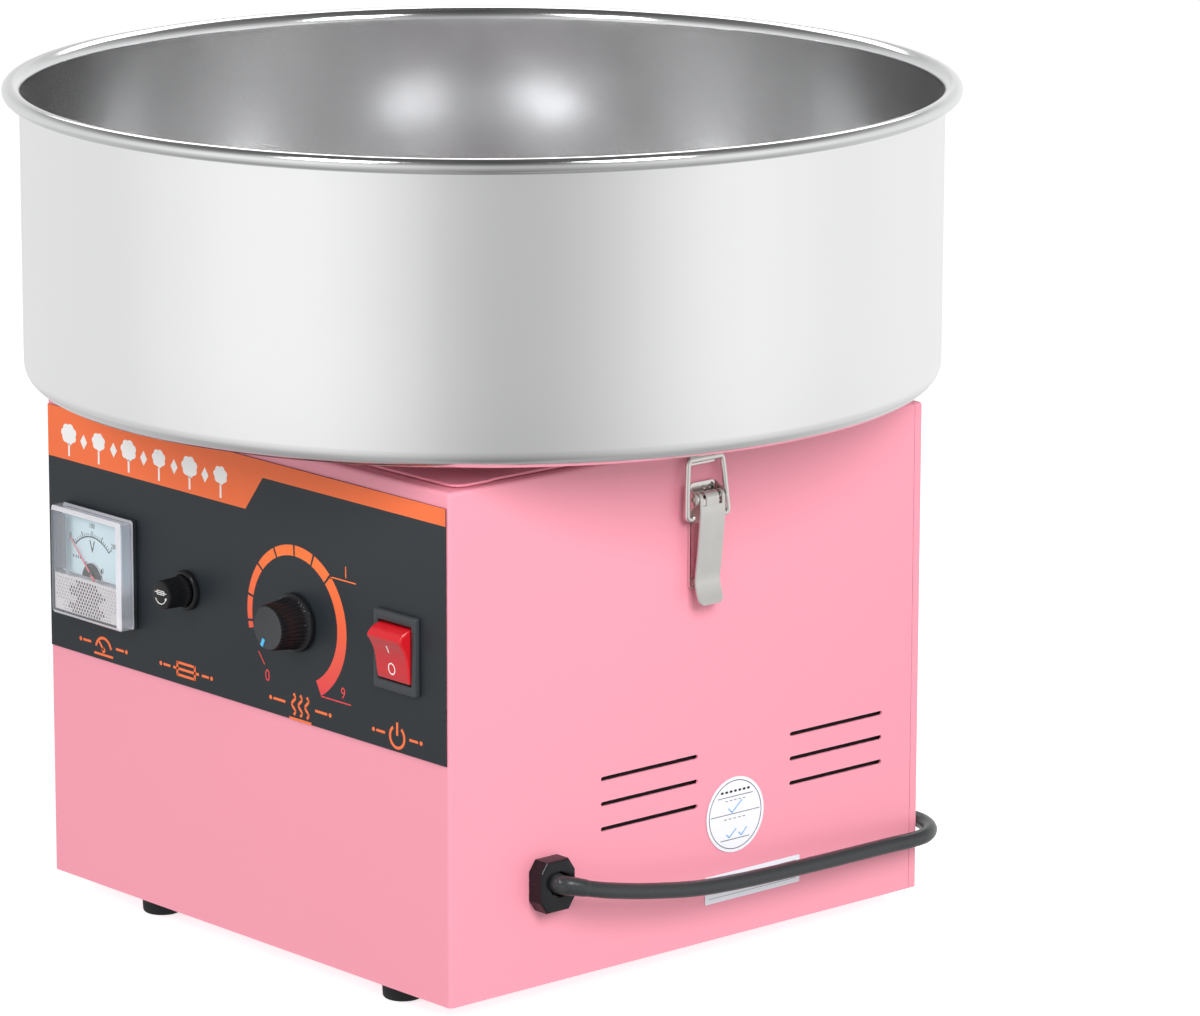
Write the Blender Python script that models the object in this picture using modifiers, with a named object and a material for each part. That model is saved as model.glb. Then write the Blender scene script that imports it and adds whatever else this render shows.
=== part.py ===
"""Table-top cotton candy machine: a lift-off steel bowl on a sheet-metal body that holds the motor and controls.

The origin is on the standing surface, under the axis of the spinning head. The control panel faces -Y,
the cord leaves on the +X side, and +Z is up. Lengths are in metres.
"""

import math

import bmesh
import bpy
from mathutils import Matrix, Vector

# ---- driving dimensions -------------------------------------------------------------------------

GAP = 0.0003
SHEET = 0.0012

BODY_WIDTH = 0.342
BODY_DEPTH = 0.340
BODY_BOTTOM = 0.014
BODY_TOP = 0.2895
EDGE_RADIUS = 0.0021
TOP_FLANGE = 0.018
REAR_WRAP = 0.0065

DECK_THICKNESS = 0.0013
DECK_FRONT_INSET = 0.009
DECK_SIDE_INSET = 0.005
DECK_STRIP = 0.0245
SHAFT_HOLE_RADIUS = 0.017

FOOT_X = 0.104
FOOT_Y = 0.146
FOOT_RADIUS = 0.0115
FOOT_ROUND = 0.0015
TRAY_DEPTH = 0.012
FLOOR_SLOTS = (-0.045, -0.015, 0.015, 0.045)
FLOOR_SLOT_HALF_WIDTH = 0.002
FLOOR_SLOT_HALF_LENGTH = 0.05
DECK_CORNER = 0.008
DECK_STEP = 0.0012
REAR_VENT_SHIFT = 0.038
FAR = 0.4

BOWL_BOTTOM = 0.3033
BOWL_TOP = 0.4659
BOWL_RADIUS = 0.2506
BOWL_SHEET = 0.0015
BOWL_FILLET = 0.010
BEAD_RADIUS = 0.0042
RIM_RADIUS = 0.260
BOWL_HOLE_RADIUS = 0.078
HOLE_LIP_HEIGHT = 0.0019
HOLE_LIP_WIDTH = 0.0015
SEAT_INNER = 0.105
SEAT_OUTER = 0.125

HEAD_RADIUS = 0.060
HEAD_BOTTOM = 0.330
HEAD_FLOOR = 0.003
HEAD_HUB_HEIGHT = 0.012
HEAD_BAND_HEIGHT = 0.032
HEAD_BAND_SHEET = 0.0015
HEAD_COVER_RISE = 0.0125
HEAD_COVER_SHEET = 0.0035
HEAD_MOUTH_RADIUS = 0.0245
HEATER_INNER = 0.0475
HEATER_OUTER = 0.0535
HEATER_LOW = 0.012
HEATER_HEIGHT = 0.006
CUP_RADIUS = 0.024
CUP_WALL = 0.0015
CUP_ABOVE_BAND = 0.010
SHAFT_RADIUS = 0.006
SHAFT_BOTTOM = 0.135
NUT_RADIUS = 0.0105
NUT_HEIGHT = 0.0065
SLIP_RING_RADIUS = 0.013
SLIP_HUB_RADIUS = 0.011
SLIP_RING_HEIGHT = 0.008
SLIP_RING_LOW = 0.256
SLIP_RING_HIGH = 0.270

MOTOR_RADIUS = 0.043
MOTOR_BOTTOM = 0.140
MOTOR_CHAMFER = 0.003
MOTOR_BOSS_RADIUS = 0.016
MOTOR_BOSS_HEIGHT = 0.012
MOTOR_PLATE_TOP = 0.232
MOTOR_PLATE_SHEET = 0.0025
MOTOR_PLATE_HALF = 0.056
MOTOR_PLATE_HOLE = 0.012
MOUNT_OFFSET = 0.046
MOUNT_RADIUS = 0.0075
BRUSH_ARM_NEAR = 0.022
BRUSH_ARM_FAR = 0.030
BRUSH_ARM_HALF = 0.009
BRUSH_HALF_WIDTH = 0.003
BRUSH_HALF_HEIGHT = 0.0028

CONTROL_Z = 0.1985
OVERLAY_BOTTOM = 0.1445
OVERLAY_TOP = 0.2814
OVERLAY_HALF_WIDTH = 0.1692
OVERLAY_THICKNESS = 0.0006
METER_X = -0.1216
METER_WIDTH = 0.0625
METER_HEIGHT = 0.061
METER_DEPTH = 0.0125
METER_BASE = 0.002
METER_WALL = 0.0022
METER_FRONT = 0.0018
METER_CAN_RADIUS = 0.0245
METER_CAN_LENGTH = 0.034
METER_SCREW_X = 0.0246
METER_SCREW_Z = -0.0245
METER_SCREW_RADIUS = 0.0024
METER_SCREW_LENGTH = 0.003
DIAL_HALF_WIDTH = 0.0265
DIAL_LOW = -0.006
DIAL_HIGH = 0.0265
DIAL_THICKNESS = 0.0012
NEEDLE_ABOVE_DIAL_LOW = 0.0018
NEEDLE_PROUD = 0.0028
NEEDLE_HUB_RADIUS = 0.0026
NEEDLE_HUB_HEIGHT = 0.0024
NEEDLE_LENGTH = 0.0255
NEEDLE_RADIUS = 0.0004
NEEDLE_REST_DEGREES = 135

FUSE_X = -0.046
FUSE_FLANGE = 0.003
FUSE_FLANGE_RADIUS = 0.011
FUSE_TUBE_RADIUS = 0.0076
FUSE_BORE_RADIUS = 0.0034
FUSE_TUBE_DEPTH = 0.0425
FUSE_BORE_DEPTH = 0.037
FUSE_NUT_RADIUS = 0.012
FUSE_NUT_LENGTH = 0.0035
FUSE_CAP_PROUD = 0.018
FUSE_CAP_RADIUS = 0.0085
FUSE_CAP_FRONT = 0.0078
FUSE_CAP_BORE_END = 0.012
FUSE_RADIUS = 0.003
FUSE_LENGTH = 0.030

KNOB_X = 0.0475
KNOB_PROUD = 0.0195
KNOB_FACE_RADIUS = 0.012
KNOB_BASE_RADIUS = 0.014
KNOB_SKIRT_RADIUS = 0.016
KNOB_SKIRT = 0.003
POT_RADIUS = 0.012
POT_LENGTH = 0.014
POT_SHAFT_RADIUS = 0.003
POT_SHAFT_PROUD = 0.011
POT_SHAFT_LENGTH = 0.022

SWITCH_X = 0.1315
SWITCH_HALF_WIDTH = 0.0171
SWITCH_HALF_HEIGHT = 0.0212
SWITCH_BEZEL = 0.003
SWITCH_REAR_HALF_WIDTH = 0.0150
SWITCH_REAR_HALF_HEIGHT = 0.0185
SWITCH_REAR_DEPTH = 0.026
SWITCH_WELL_HALF_WIDTH = 0.0134
SWITCH_WELL_HALF_HEIGHT = 0.0158
SWITCH_WELL_DEPTH = 0.010
ROCKER_WIDTH = 0.0262
ROCKER_PIVOT_DEPTH = 0.0045
# The rocker in its off position in side view, as (depth behind the bezel's front, height).
ROCKER_OUTLINE = (
    (0.0045, -0.0146),
    (-0.0004, -0.0146),
    (-0.0012, -0.0105),
    (-0.0016, -0.0060),
    (-0.0026, -0.0010),
    (-0.0046, 0.0040),
    (-0.0076, 0.0085),
    (-0.0068, 0.0106),
    (-0.0040, 0.0130),
    (0.0, 0.0148),
    (0.0045, 0.0146),
)
PANEL_HOLES = {"meter": 0.0252, "fuse": 0.0082, "knob": 0.0055}

VENT_LENGTH = 0.0695
VENT_WIDTH = 0.0024
VENT_PITCH = 0.0138
VENT_TOP = 0.1188
VENT_CENTRES = (-0.0305, 0.1067)

LATCH_Y = 0.0045
LATCH_PIVOT_OUT = 0.0068
LATCH_PIVOT_Z = 0.2625
LATCH_WIDTH = 0.022
BAIL_PIVOT_OUT = 0.0062
BAIL_PIVOT_Z = 0.2530
BAIL_BAR_OUT = 0.0040
BAIL_BAR_Z = 0.2830
BAIL_WIRE = 0.0016
BAIL_CORNER = 0.0030
BAIL_HALF_LOW = 0.0146
BAIL_HALF_HIGH = 0.0124
LATCH_BASE_LOW = 0.2125
LATCH_BASE_HIGH = 0.2700
LATCH_EAR = 0.0012
LATCH_EAR_RADIUS = 0.0034
LATCH_PIN_RADIUS = 0.0012
LEVER_EYE_RADIUS = 0.0040
LEVER_HALF = 0.009
# The lever's far side and near side below its eye, as (out from the pivot, up from the pivot).
LEVER_OUTER = ((0.0034, -0.0100), (0.0016, -0.0300), (-0.0002, -0.0440), (0.0034, -0.0580))
LEVER_INNER = ((0.0022, -0.0583), (-0.0016, -0.0442), (0.0002, -0.0300), (0.0006, -0.0120))
LEVER_BAIL_EYE = (-0.0028, -0.0010)
KEEPER_REACH = -0.022
KEEPER_SHEET = 0.0012
KEEPER_TONGUE = 0.0006
KEEPER_WIDTH = 0.018
KEEPER_GAP = 0.0005

GLAND_Y = -0.104
GLAND_Z = 0.070
GLAND_PROUD = 0.0105
GLAND_HALF_WIDTH = 0.0118
GLAND_HALF_HEIGHT = 0.0140
GLAND_CHAMFER_Y = 0.0043
GLAND_CHAMFER_Z = 0.0062
GLAND_NECK_RADIUS = 0.0097
GLAND_NECK_LENGTH = 0.016
GLAND_HOLE_RADIUS = 0.0102
GLAND_NUT_RADIUS = 0.014
GLAND_NUT_LENGTH = 0.005
CORD_RADIUS = 0.00435
COIL_CENTRE = (-0.060, 0.2395)
COIL_RADIUS = 0.048
COIL_HALF_BAND = 2.1 * CORD_RADIUS
PLUG_X = -0.148
PLUG_Y = 0.1871
PLUG_HALF = (0.020, 0.0135, 0.0125)
PLUG_ROUND = 0.004
PIN_OFFSET = 0.0065
PIN_HALF_THICKNESS = 0.0009
PIN_HALF_WIDTH = 0.0032
PIN_LENGTH = 0.016
STICKER_CENTRE = (0.0314, 0.0817)
STICKER_RADIUS = 0.021
STICKER_THICKNESS = 0.0004
LABEL_LOW = (0.0098, 0.0345)
LABEL_HIGH = (0.0797, 0.0500)
# The cord's route by hand: out of the gland, along the side, round the rear corner and down to the surface.
CORD_ROUTE = (
    (0.1862, -0.1040, 0.0715),
    (0.1897, -0.0975, 0.0702),
    (0.1922, -0.0890, 0.0680),
    (0.1935, -0.0760, 0.0649),
    (0.1935, -0.0500, 0.0596),
    (0.1925, -0.0150, 0.0540),
    (0.1915, 0.0200, 0.0515),
    (0.1900, 0.0600, 0.0500),
    (0.1880, 0.1000, 0.0488),
    (0.1858, 0.1330, 0.0478),
    (0.1852, 0.1500, 0.0472),
    (0.1827, 0.1640, 0.0468),
    (0.1748, 0.1758, 0.0465),
    (0.1630, 0.1837, 0.0462),
    (0.1490, 0.1867, 0.0458),
    (0.1200, 0.1885, 0.0430),
    (0.0900, 0.1885, 0.0345),
    (0.0600, 0.1880, 0.0215),
    (0.0330, 0.1875, 0.0110),
    (0.0060, 0.1870, 0.0056),
    (-0.0220, 0.1868, 0.0047),
)

HALF_WIDTH = BODY_WIDTH / 2
HALF_DEPTH = BODY_DEPTH / 2
PANEL_FACE = -HALF_DEPTH
OVERLAY_FACE = PANEL_FACE - GAP - OVERLAY_THICKNESS
PANEL_BACK = PANEL_FACE + SHEET
DECK_BOTTOM = BODY_TOP + 0.0006
DECK_TOP = DECK_BOTTOM + DECK_THICKNESS
INSIDE = SHEET + GAP
REACH = 0.02

# ---- scene and helpers --------------------------------------------------------------------------


def clear_scene():
    for obj in list(bpy.data.objects):
        bpy.data.objects.remove(obj, do_unlink=True)


def new_collection(name):
    collection = bpy.data.collections.new(name)
    bpy.context.scene.collection.children.link(collection)
    return collection


clear_scene()
PARTS = new_collection("cotton_candy_machine")
CUTTERS = new_collection("cutters")


def new_material(name, colour, roughness, metallic=0.0):
    material = bpy.data.materials.new(name)
    material.use_nodes = True
    shader = material.node_tree.nodes["Principled BSDF"]
    shader.inputs["Base Color"].default_value = (*colour, 1.0)
    shader.inputs["Roughness"].default_value = roughness
    shader.inputs["Metallic"].default_value = metallic
    return material


PINK = new_material("pink_paint", (0.93, 0.42, 0.52), 0.45)
GREY_FILM = new_material("overlay_film", (0.045, 0.052, 0.056), 0.5)
SATIN_STEEL = new_material("satin_steel", (0.66, 0.66, 0.65), 0.3, 1.0)
PLATED_STEEL = new_material("plated_steel", (0.55, 0.54, 0.51), 0.22, 1.0)
ALUMINIUM = new_material("aluminium", (0.72, 0.73, 0.74), 0.35, 1.0)
BRASS = new_material("brass", (0.72, 0.52, 0.24), 0.3, 1.0)
BLACK_PLASTIC = new_material("black_plastic", (0.018, 0.018, 0.02), 0.4)
RED_PLASTIC = new_material("red_plastic", (0.75, 0.03, 0.03), 0.3)
CLEAR_PLASTIC = new_material("clear_plastic", (0.85, 0.9, 0.95), 0.05)
WHITE_CARD = new_material("white_card", (0.85, 0.9, 0.94), 0.6)
NEEDLE_RED = new_material("needle_red", (0.8, 0.12, 0.16), 0.4)
RUBBER = new_material("black_rubber", (0.02, 0.02, 0.02), 0.75)
GLASS = new_material("glass", (0.8, 0.85, 0.88), 0.05)
BOARD_GREEN = new_material("board_green", (0.03, 0.16, 0.09), 0.5)


def add_object(name, mesh, material=None, collection=PARTS):
    obj = bpy.data.objects.new(name, mesh)
    collection.objects.link(obj)
    if material is not None:
        mesh.materials.append(material)
    if collection is CUTTERS:
        obj.hide_render = True
        obj.display_type = "WIRE"
    return obj


def smooth(obj, degrees=40.0):
    obj.data.shade_smooth()
    obj.data.set_sharp_from_angle(angle=math.radians(degrees))


def finish_bmesh(name, mesh_data, material, collection):
    bmesh.ops.recalc_face_normals(mesh_data, faces=mesh_data.faces)
    mesh = bpy.data.meshes.new(name)
    mesh_data.to_mesh(mesh)
    mesh_data.free()
    return add_object(name, mesh, material, collection)


def is_along(edge, axis):
    direction = (edge.verts[1].co - edge.verts[0].co).normalized()
    return abs(direction[axis]) > 0.99


def box(name, low, high, material=None, collection=PARTS, radius=0.0, along=None, segments=2):
    """A box from its corners. radius rounds every edge, or only those along one axis."""
    low, high = Vector(low), Vector(high)
    centre, size = (low + high) / 2, high - low
    data = bmesh.new()
    bmesh.ops.create_cube(data, size=1.0, matrix=Matrix.Diagonal((*size, 1.0)))
    if radius:
        edges = [edge for edge in data.edges if along is None or is_along(edge, along)]
        bmesh.ops.bevel(data, geom=edges, offset=radius, segments=segments, affect="EDGES", profile=0.5)
    obj = finish_bmesh(name, data, material, collection)
    obj.location = centre
    return obj


AXIS_TURN = {
    "z": Matrix.Identity(3),
    "x": Matrix.Rotation(math.pi / 2, 3, "Y"),
    "-x": Matrix.Rotation(-math.pi / 2, 3, "Y"),
    "-y": Matrix.Rotation(math.pi / 2, 3, "X"),
    "y": Matrix.Rotation(-math.pi / 2, 3, "X"),
}


def cylinder(name, start, axis, radius, length, material=None, collection=PARTS, segments=24, end_radius=None):
    """A cylinder or cone that starts at a point and runs along an axis."""
    data = bmesh.new()
    bmesh.ops.create_cone(
        data,
        cap_ends=True,
        segments=segments,
        radius1=radius,
        radius2=radius if end_radius is None else end_radius,
        depth=length,
        matrix=Matrix.Translation((0, 0, length / 2)),
    )
    obj = finish_bmesh(name, data, material, collection)
    obj.matrix_world = Matrix.Translation(start) @ AXIS_TURN[axis].to_4x4()
    smooth(obj)
    return obj


def turned(name, profile, material=None, collection=PARTS, segments=48, origin=(0, 0, 0), axis="z", loop=False):
    """A turned shape. The profile's (radius, height) points run down the outer side, top to bottom."""
    mesh = bpy.data.meshes.new(name)
    points = [(radius, 0.0, height) for radius, height in profile]
    edges = [(i, i + 1) for i in range(len(points) - 1)]
    if loop:
        edges.append((len(points) - 1, 0))
    mesh.from_pydata(points, edges, [])
    obj = add_object(name, mesh, material, collection)
    screw = obj.modifiers.new("turn", "SCREW")
    screw.axis = "Z"
    screw.steps = screw.render_steps = segments
    screw.use_merge_vertices = True
    screw.merge_threshold = 0.00001
    screw.use_smooth_shade = True
    obj.matrix_world = Matrix.Translation(origin) @ AXIS_TURN[axis].to_4x4()
    return obj


def curve_to_mesh(obj, collection):
    """The curve as a welded mesh object with the same name and place."""
    bpy.context.view_layer.update()
    graph = bpy.context.evaluated_depsgraph_get()
    mesh = bpy.data.meshes.new_from_object(obj.evaluated_get(graph))
    data = bmesh.new()
    data.from_mesh(mesh)
    bmesh.ops.remove_doubles(data, verts=data.verts, dist=0.000005)
    bmesh.ops.recalc_face_normals(data, faces=data.faces)
    data.to_mesh(mesh)
    data.free()
    name, matrix = obj.name, obj.matrix_world.copy()
    bpy.data.objects.remove(obj, do_unlink=True)
    result = add_object(name, mesh, None, collection)
    result.name = name
    result.matrix_world = matrix
    return result


def wire(name, points, radius, material=None, collection=PARTS, resolution=2, closed=False):
    """A round wire through the points, as a curve with a bevel and filled caps."""
    curve = bpy.data.curves.new(name, "CURVE")
    curve.dimensions = "3D"
    curve.bevel_depth = radius
    curve.bevel_resolution = resolution
    curve.use_fill_caps = True
    spline = curve.splines.new("POLY")
    spline.points.add(len(points) - 1)
    for point, co in zip(spline.points, points):
        point.co = (*co, 1.0)
    spline.use_cyclic_u = closed
    obj = bpy.data.objects.new(name, curve)
    collection.objects.link(obj)
    if material is not None:
        curve.materials.append(material)
    return obj


def plate(name, outline, thickness, matrix, material=None, collection=PARTS):
    """A flat plate from an outline, centred on its own XY plane, then placed by a matrix."""
    curve = bpy.data.curves.new(name, "CURVE")
    curve.dimensions = "2D"
    curve.fill_mode = "BOTH"
    curve.extrude = thickness / 2
    spline = curve.splines.new("POLY")
    spline.points.add(len(outline) - 1)
    for point, (x, y) in zip(spline.points, outline):
        point.co = (x, y, 0.0, 1.0)
    spline.use_cyclic_u = True
    obj = bpy.data.objects.new(name, curve)
    collection.objects.link(obj)
    obj.matrix_world = matrix
    result = curve_to_mesh(obj, collection)
    if material is not None:
        result.data.materials.append(material)
    return result


def arc(centre, radius, start, end, count):
    """Points on an arc, angles in degrees."""
    angles = [math.radians(start + (end - start) * i / (count - 1)) for i in range(count)]
    return [(centre[0] + radius * math.cos(a), centre[1] + radius * math.sin(a)) for a in angles]


def boolean(obj, other, operation):
    modifier = obj.modifiers.new(operation.lower(), "BOOLEAN")
    modifier.operation = operation
    modifier.object = other
    modifier.solver = "EXACT"


def cut(obj, *cutters):
    for cutter in cutters:
        boolean(obj, cutter, "DIFFERENCE")


def join(obj, *others):
    for other in others:
        boolean(obj, other, "UNION")


def hex_nut(name, start, axis, radius, length, bore_radius):
    """A black plastic nut with six sides and a round bore."""
    nut = cylinder(name, start, axis, radius, length, BLACK_PLASTIC, segments=6)
    bore = cylinder(f"cut_{name}_bore", start, axis, bore_radius, 4 * length, None, CUTTERS)
    bore.matrix_world = bore.matrix_world @ Matrix.Translation((0, 0, -length))
    cut(nut, bore)


def set_origin(obj, point):
    """Moves the object's origin to a point on its joint's axis and leaves its shape where it is."""
    bpy.context.view_layer.update()
    shift = obj.matrix_world.inverted() @ Vector(point)
    obj.data.transform(Matrix.Translation(-shift))
    obj.matrix_world = obj.matrix_world @ Matrix.Translation(shift)


# ---- sheet-metal body ---------------------------------------------------------------------------


def body_block(name, inset, top, bottom, edge_radius, collection):
    """The body's outer form, smaller all round by inset, with its upright and top edges rounded."""
    data = bmesh.new()
    size = (BODY_WIDTH - 2 * inset, BODY_DEPTH - 2 * inset, top - bottom)
    bmesh.ops.create_cube(data, size=1.0, matrix=Matrix.Diagonal((*size, 1.0)))
    half = size[2] / 2
    edges = [edge for edge in data.edges if max(vert.co.z for vert in edge.verts) > half - GAP]
    bmesh.ops.bevel(data, geom=edges, offset=edge_radius, segments=3, affect="EDGES", profile=0.5)
    obj = finish_bmesh(name, data, None, collection)
    obj.location = (0, 0, (top + bottom) / 2)
    return obj


def vent_cutter(name, run_axis):
    """Both groups of three slots in one cutter, which runs through two facing walls."""
    data = bmesh.new()
    reach = max(BODY_WIDTH, BODY_DEPTH) + REACH
    for centre in VENT_CENTRES:
        for row in range(3):
            size = (reach, VENT_LENGTH, VENT_WIDTH)
            piece = bmesh.ops.create_cube(data, size=1.0, matrix=Matrix.Diagonal((*size, 1.0)))
            edges = {edge for vert in piece["verts"] for edge in vert.link_edges if is_along(edge, 0)}
            rounded = bmesh.ops.bevel(
                data, geom=list(edges), offset=VENT_WIDTH * 0.49, segments=3, affect="EDGES", profile=0.5
            )
            verts = {vert for vert in piece["verts"] if vert.is_valid} | set(rounded["verts"])
            place = Vector((0, centre, VENT_TOP - row * VENT_PITCH))
            bmesh.ops.translate(data, verts=list(verts), vec=place)
    obj = finish_bmesh(name, data, None, CUTTERS)
    if run_axis == "y":
        obj.rotation_euler = (0, 0, math.pi / 2)
    return obj


def panel_openings():
    """Cutters for the holes that the controls and the gland go through."""
    start = PANEL_FACE - REACH / 2
    places = {"meter": METER_X, "fuse": FUSE_X, "knob": KNOB_X}
    openings = [
        cylinder(f"cut_{name}", (x, start, CONTROL_Z), "y", PANEL_HOLES[name], REACH, None, CUTTERS, 32)
        for name, x in places.items()
    ]
    half_w, half_h = SWITCH_REAR_HALF_WIDTH + GAP, SWITCH_REAR_HALF_HEIGHT + GAP
    openings.append(
        box(
            "cut_switch",
            (SWITCH_X - half_w, start, CONTROL_Z - half_h),
            (SWITCH_X + half_w, start + REACH, CONTROL_Z + half_h),
            None,
            CUTTERS,
        )
    )
    start = (HALF_WIDTH - REACH / 2, GLAND_Y, GLAND_Z)
    gland = cylinder("cut_gland", start, "x", GLAND_HOLE_RADIUS, REACH, None, CUTTERS)
    return openings, gland


def make_body():
    housing = body_block("housing", 0.0, BODY_TOP, BODY_BOTTOM, EDGE_RADIUS, PARTS)
    housing.data.materials.append(PINK)
    hollow = body_block("cut_body_hollow", SHEET, BODY_TOP - SHEET, BODY_BOTTOM - REACH, EDGE_RADIUS - SHEET, CUTTERS)
    mouth = box(
        "cut_body_mouth",
        (-HALF_WIDTH + TOP_FLANGE, -HALF_DEPTH + TOP_FLANGE, BODY_TOP - REACH),
        (HALF_WIDTH - TOP_FLANGE, FAR, BODY_TOP + REACH),
        None,
        CUTTERS,
    )
    seam = HALF_DEPTH - REAR_WRAP
    behind = box("cut_behind_seam", (-FAR, seam, -FAR), (FAR, FAR, FAR), None, CUTTERS)
    openings, gland = panel_openings()
    side_vents = vent_cutter("cut_side_vents", "x")
    cut(housing, hollow, mouth, behind, gland, side_vents, *openings)

    rear = body_block("rear_panel", 0.0, BODY_TOP, BODY_BOTTOM, EDGE_RADIUS, PARTS)
    rear.data.materials.append(PINK)
    ahead = box("cut_ahead_of_seam", (-FAR, -FAR, -FAR), (FAR, seam + GAP, FAR), None, CUTTERS)
    rear_vents = vent_cutter("cut_rear_vents", "y")
    rear_vents.location = (REAR_VENT_SHIFT, 0, 0)
    flange = box(
        "add_rear_flange",
        (-HALF_WIDTH + TOP_FLANGE + GAP, HALF_DEPTH - TOP_FLANGE, BODY_TOP - SHEET),
        (HALF_WIDTH - TOP_FLANGE - GAP, HALF_DEPTH - 2 * EDGE_RADIUS, BODY_TOP),
        None,
        CUTTERS,
    )
    cut(rear, hollow, ahead, rear_vents)
    join(rear, flange)
    return openings


def make_bottom_plate():
    x, y = HALF_WIDTH - INSIDE, HALF_DEPTH - INSIDE
    tray = box("bottom_plate", (-x, -y, BODY_BOTTOM), (x, y, BODY_BOTTOM + TRAY_DEPTH), PINK)
    pocket = box(
        "cut_bottom_pocket",
        (-x + SHEET, -y + SHEET, BODY_BOTTOM + SHEET),
        (x - SHEET, y - SHEET, BODY_BOTTOM + TRAY_DEPTH + REACH),
        None,
        CUTTERS,
    )
    cut(tray, pocket)
    for index, middle in enumerate(FLOOR_SLOTS):
        slot = box(
            f"cut_floor_slot_{index + 1}",
            (middle - FLOOR_SLOT_HALF_WIDTH, -FLOOR_SLOT_HALF_LENGTH, BODY_BOTTOM - REACH),
            (middle + FLOOR_SLOT_HALF_WIDTH, FLOOR_SLOT_HALF_LENGTH, BODY_BOTTOM + REACH / 2),
            None,
            CUTTERS,
        )
        cut(tray, slot)


def make_deck():
    front = -HALF_DEPTH + DECK_FRONT_INSET
    side = HALF_WIDTH - DECK_SIDE_INSET
    joint = front + DECK_STRIP
    corner = DECK_CORNER
    middle_z = DECK_BOTTOM + DECK_THICKNESS / 2
    outline = [
        (side, joint),
        (-side, joint),
        *arc((-side + corner, front + corner), corner, 180, 270, 5),
        *arc((side - corner, front + corner), corner, 270, 360, 5),
    ]
    plate("deck_front_strip", outline, DECK_THICKNESS, Matrix.Translation((0, 0, middle_z)), PINK)
    deck = box(
        "deck_plate",
        (-side + DECK_STEP, joint + GAP, DECK_BOTTOM),
        (side - DECK_STEP, HALF_DEPTH - DECK_FRONT_INSET, DECK_TOP),
        PINK,
    )
    start = (0, 0, DECK_BOTTOM - REACH / 2)
    hole = cylinder("cut_shaft_hole", start, "z", SHAFT_HOLE_RADIUS, REACH, None, CUTTERS)
    cut(deck, hole)


def make_feet():
    profile = [
        (0.0, BODY_BOTTOM - GAP),
        (FOOT_RADIUS, BODY_BOTTOM - GAP),
        *arc((FOOT_RADIUS - FOOT_ROUND, FOOT_ROUND), FOOT_ROUND, 0, -90, 4),
        (0.0, 0.0),
    ]
    for side, x in (("left", -FOOT_X), ("right", FOOT_X)):
        for end, y in (("front", -FOOT_Y), ("rear", FOOT_Y)):
            turned(f"foot_{end}_{side}", profile, RUBBER, segments=20, origin=(x, y, 0))


# ---- controls -----------------------------------------------------------------------------------


def make_overlay(openings):
    overlay = box(
        "control_overlay",
        (-OVERLAY_HALF_WIDTH, OVERLAY_FACE, OVERLAY_BOTTOM),
        (OVERLAY_HALF_WIDTH, PANEL_FACE - GAP, OVERLAY_TOP),
        GREY_FILM,
    )
    cut(overlay, *openings)


def make_meter():
    x, z = METER_X, CONTROL_Z
    back = OVERLAY_FACE - GAP
    base_front = back - METER_BASE
    half_w, half_h = METER_WIDTH / 2, METER_HEIGHT / 2
    body = box("meter_body", (x - half_w, base_front, z - half_h), (x + half_w, back, z + half_h), BLACK_PLASTIC)
    start = (x, base_front + METER_BASE / 2, z)
    can = cylinder("add_meter_can", start, "y", METER_CAN_RADIUS, METER_CAN_LENGTH, None, CUTTERS, 32)
    join(body, can)

    cover_back = base_front - GAP
    front = back - METER_DEPTH
    cover = box("meter_cover", (x - half_w, front, z - half_h), (x + half_w, cover_back, z + half_h), CLEAR_PLASTIC,
                radius=0.001, segments=1)
    pocket = box(
        "cut_meter_pocket",
        (x - half_w + METER_WALL, front + METER_FRONT, z - half_h + METER_WALL),
        (x + half_w - METER_WALL, cover_back + REACH, z + half_h - METER_WALL),
        None,
        CUTTERS,
    )
    cut(cover, pocket)

    dial_back = base_front - GAP
    dial_front = dial_back - DIAL_THICKNESS
    low = (x - DIAL_HALF_WIDTH, dial_front, z + DIAL_LOW)
    box("meter_dial", low, (x + DIAL_HALF_WIDTH, dial_back, z + DIAL_HIGH), WHITE_CARD)
    make_meter_needle(x, z + DIAL_LOW + NEEDLE_ABOVE_DIAL_LOW, dial_front)
    for side, sign in (("left", -1), ("right", 1)):
        start = (x + sign * METER_SCREW_X, base_front - GAP, z + METER_SCREW_Z)
        cylinder(f"meter_screw_{side}", start, "-y", METER_SCREW_RADIUS, METER_SCREW_LENGTH, PLATED_STEEL, segments=16)


def make_meter_needle(x, z, dial_front):
    """The needle at its rest on zero: a hub and a thin pointer that leans 45 degrees to the left."""
    y = dial_front - NEEDLE_PROUD
    start = (x, y + NEEDLE_HUB_HEIGHT / 2, z)
    hub = cylinder("meter_needle", start, "-y", NEEDLE_HUB_RADIUS, NEEDLE_HUB_HEIGHT, NEEDLE_RED, segments=12)
    angle = math.radians(NEEDLE_REST_DEGREES)
    direction = Vector((math.cos(angle), 0, math.sin(angle)))
    root = Vector((x, y, z))
    pointer = wire("add_needle_pointer", [root, root + direction * NEEDLE_LENGTH], NEEDLE_RADIUS, None, CUTTERS, 1)
    join(hub, curve_to_mesh(pointer, CUTTERS))


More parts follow.
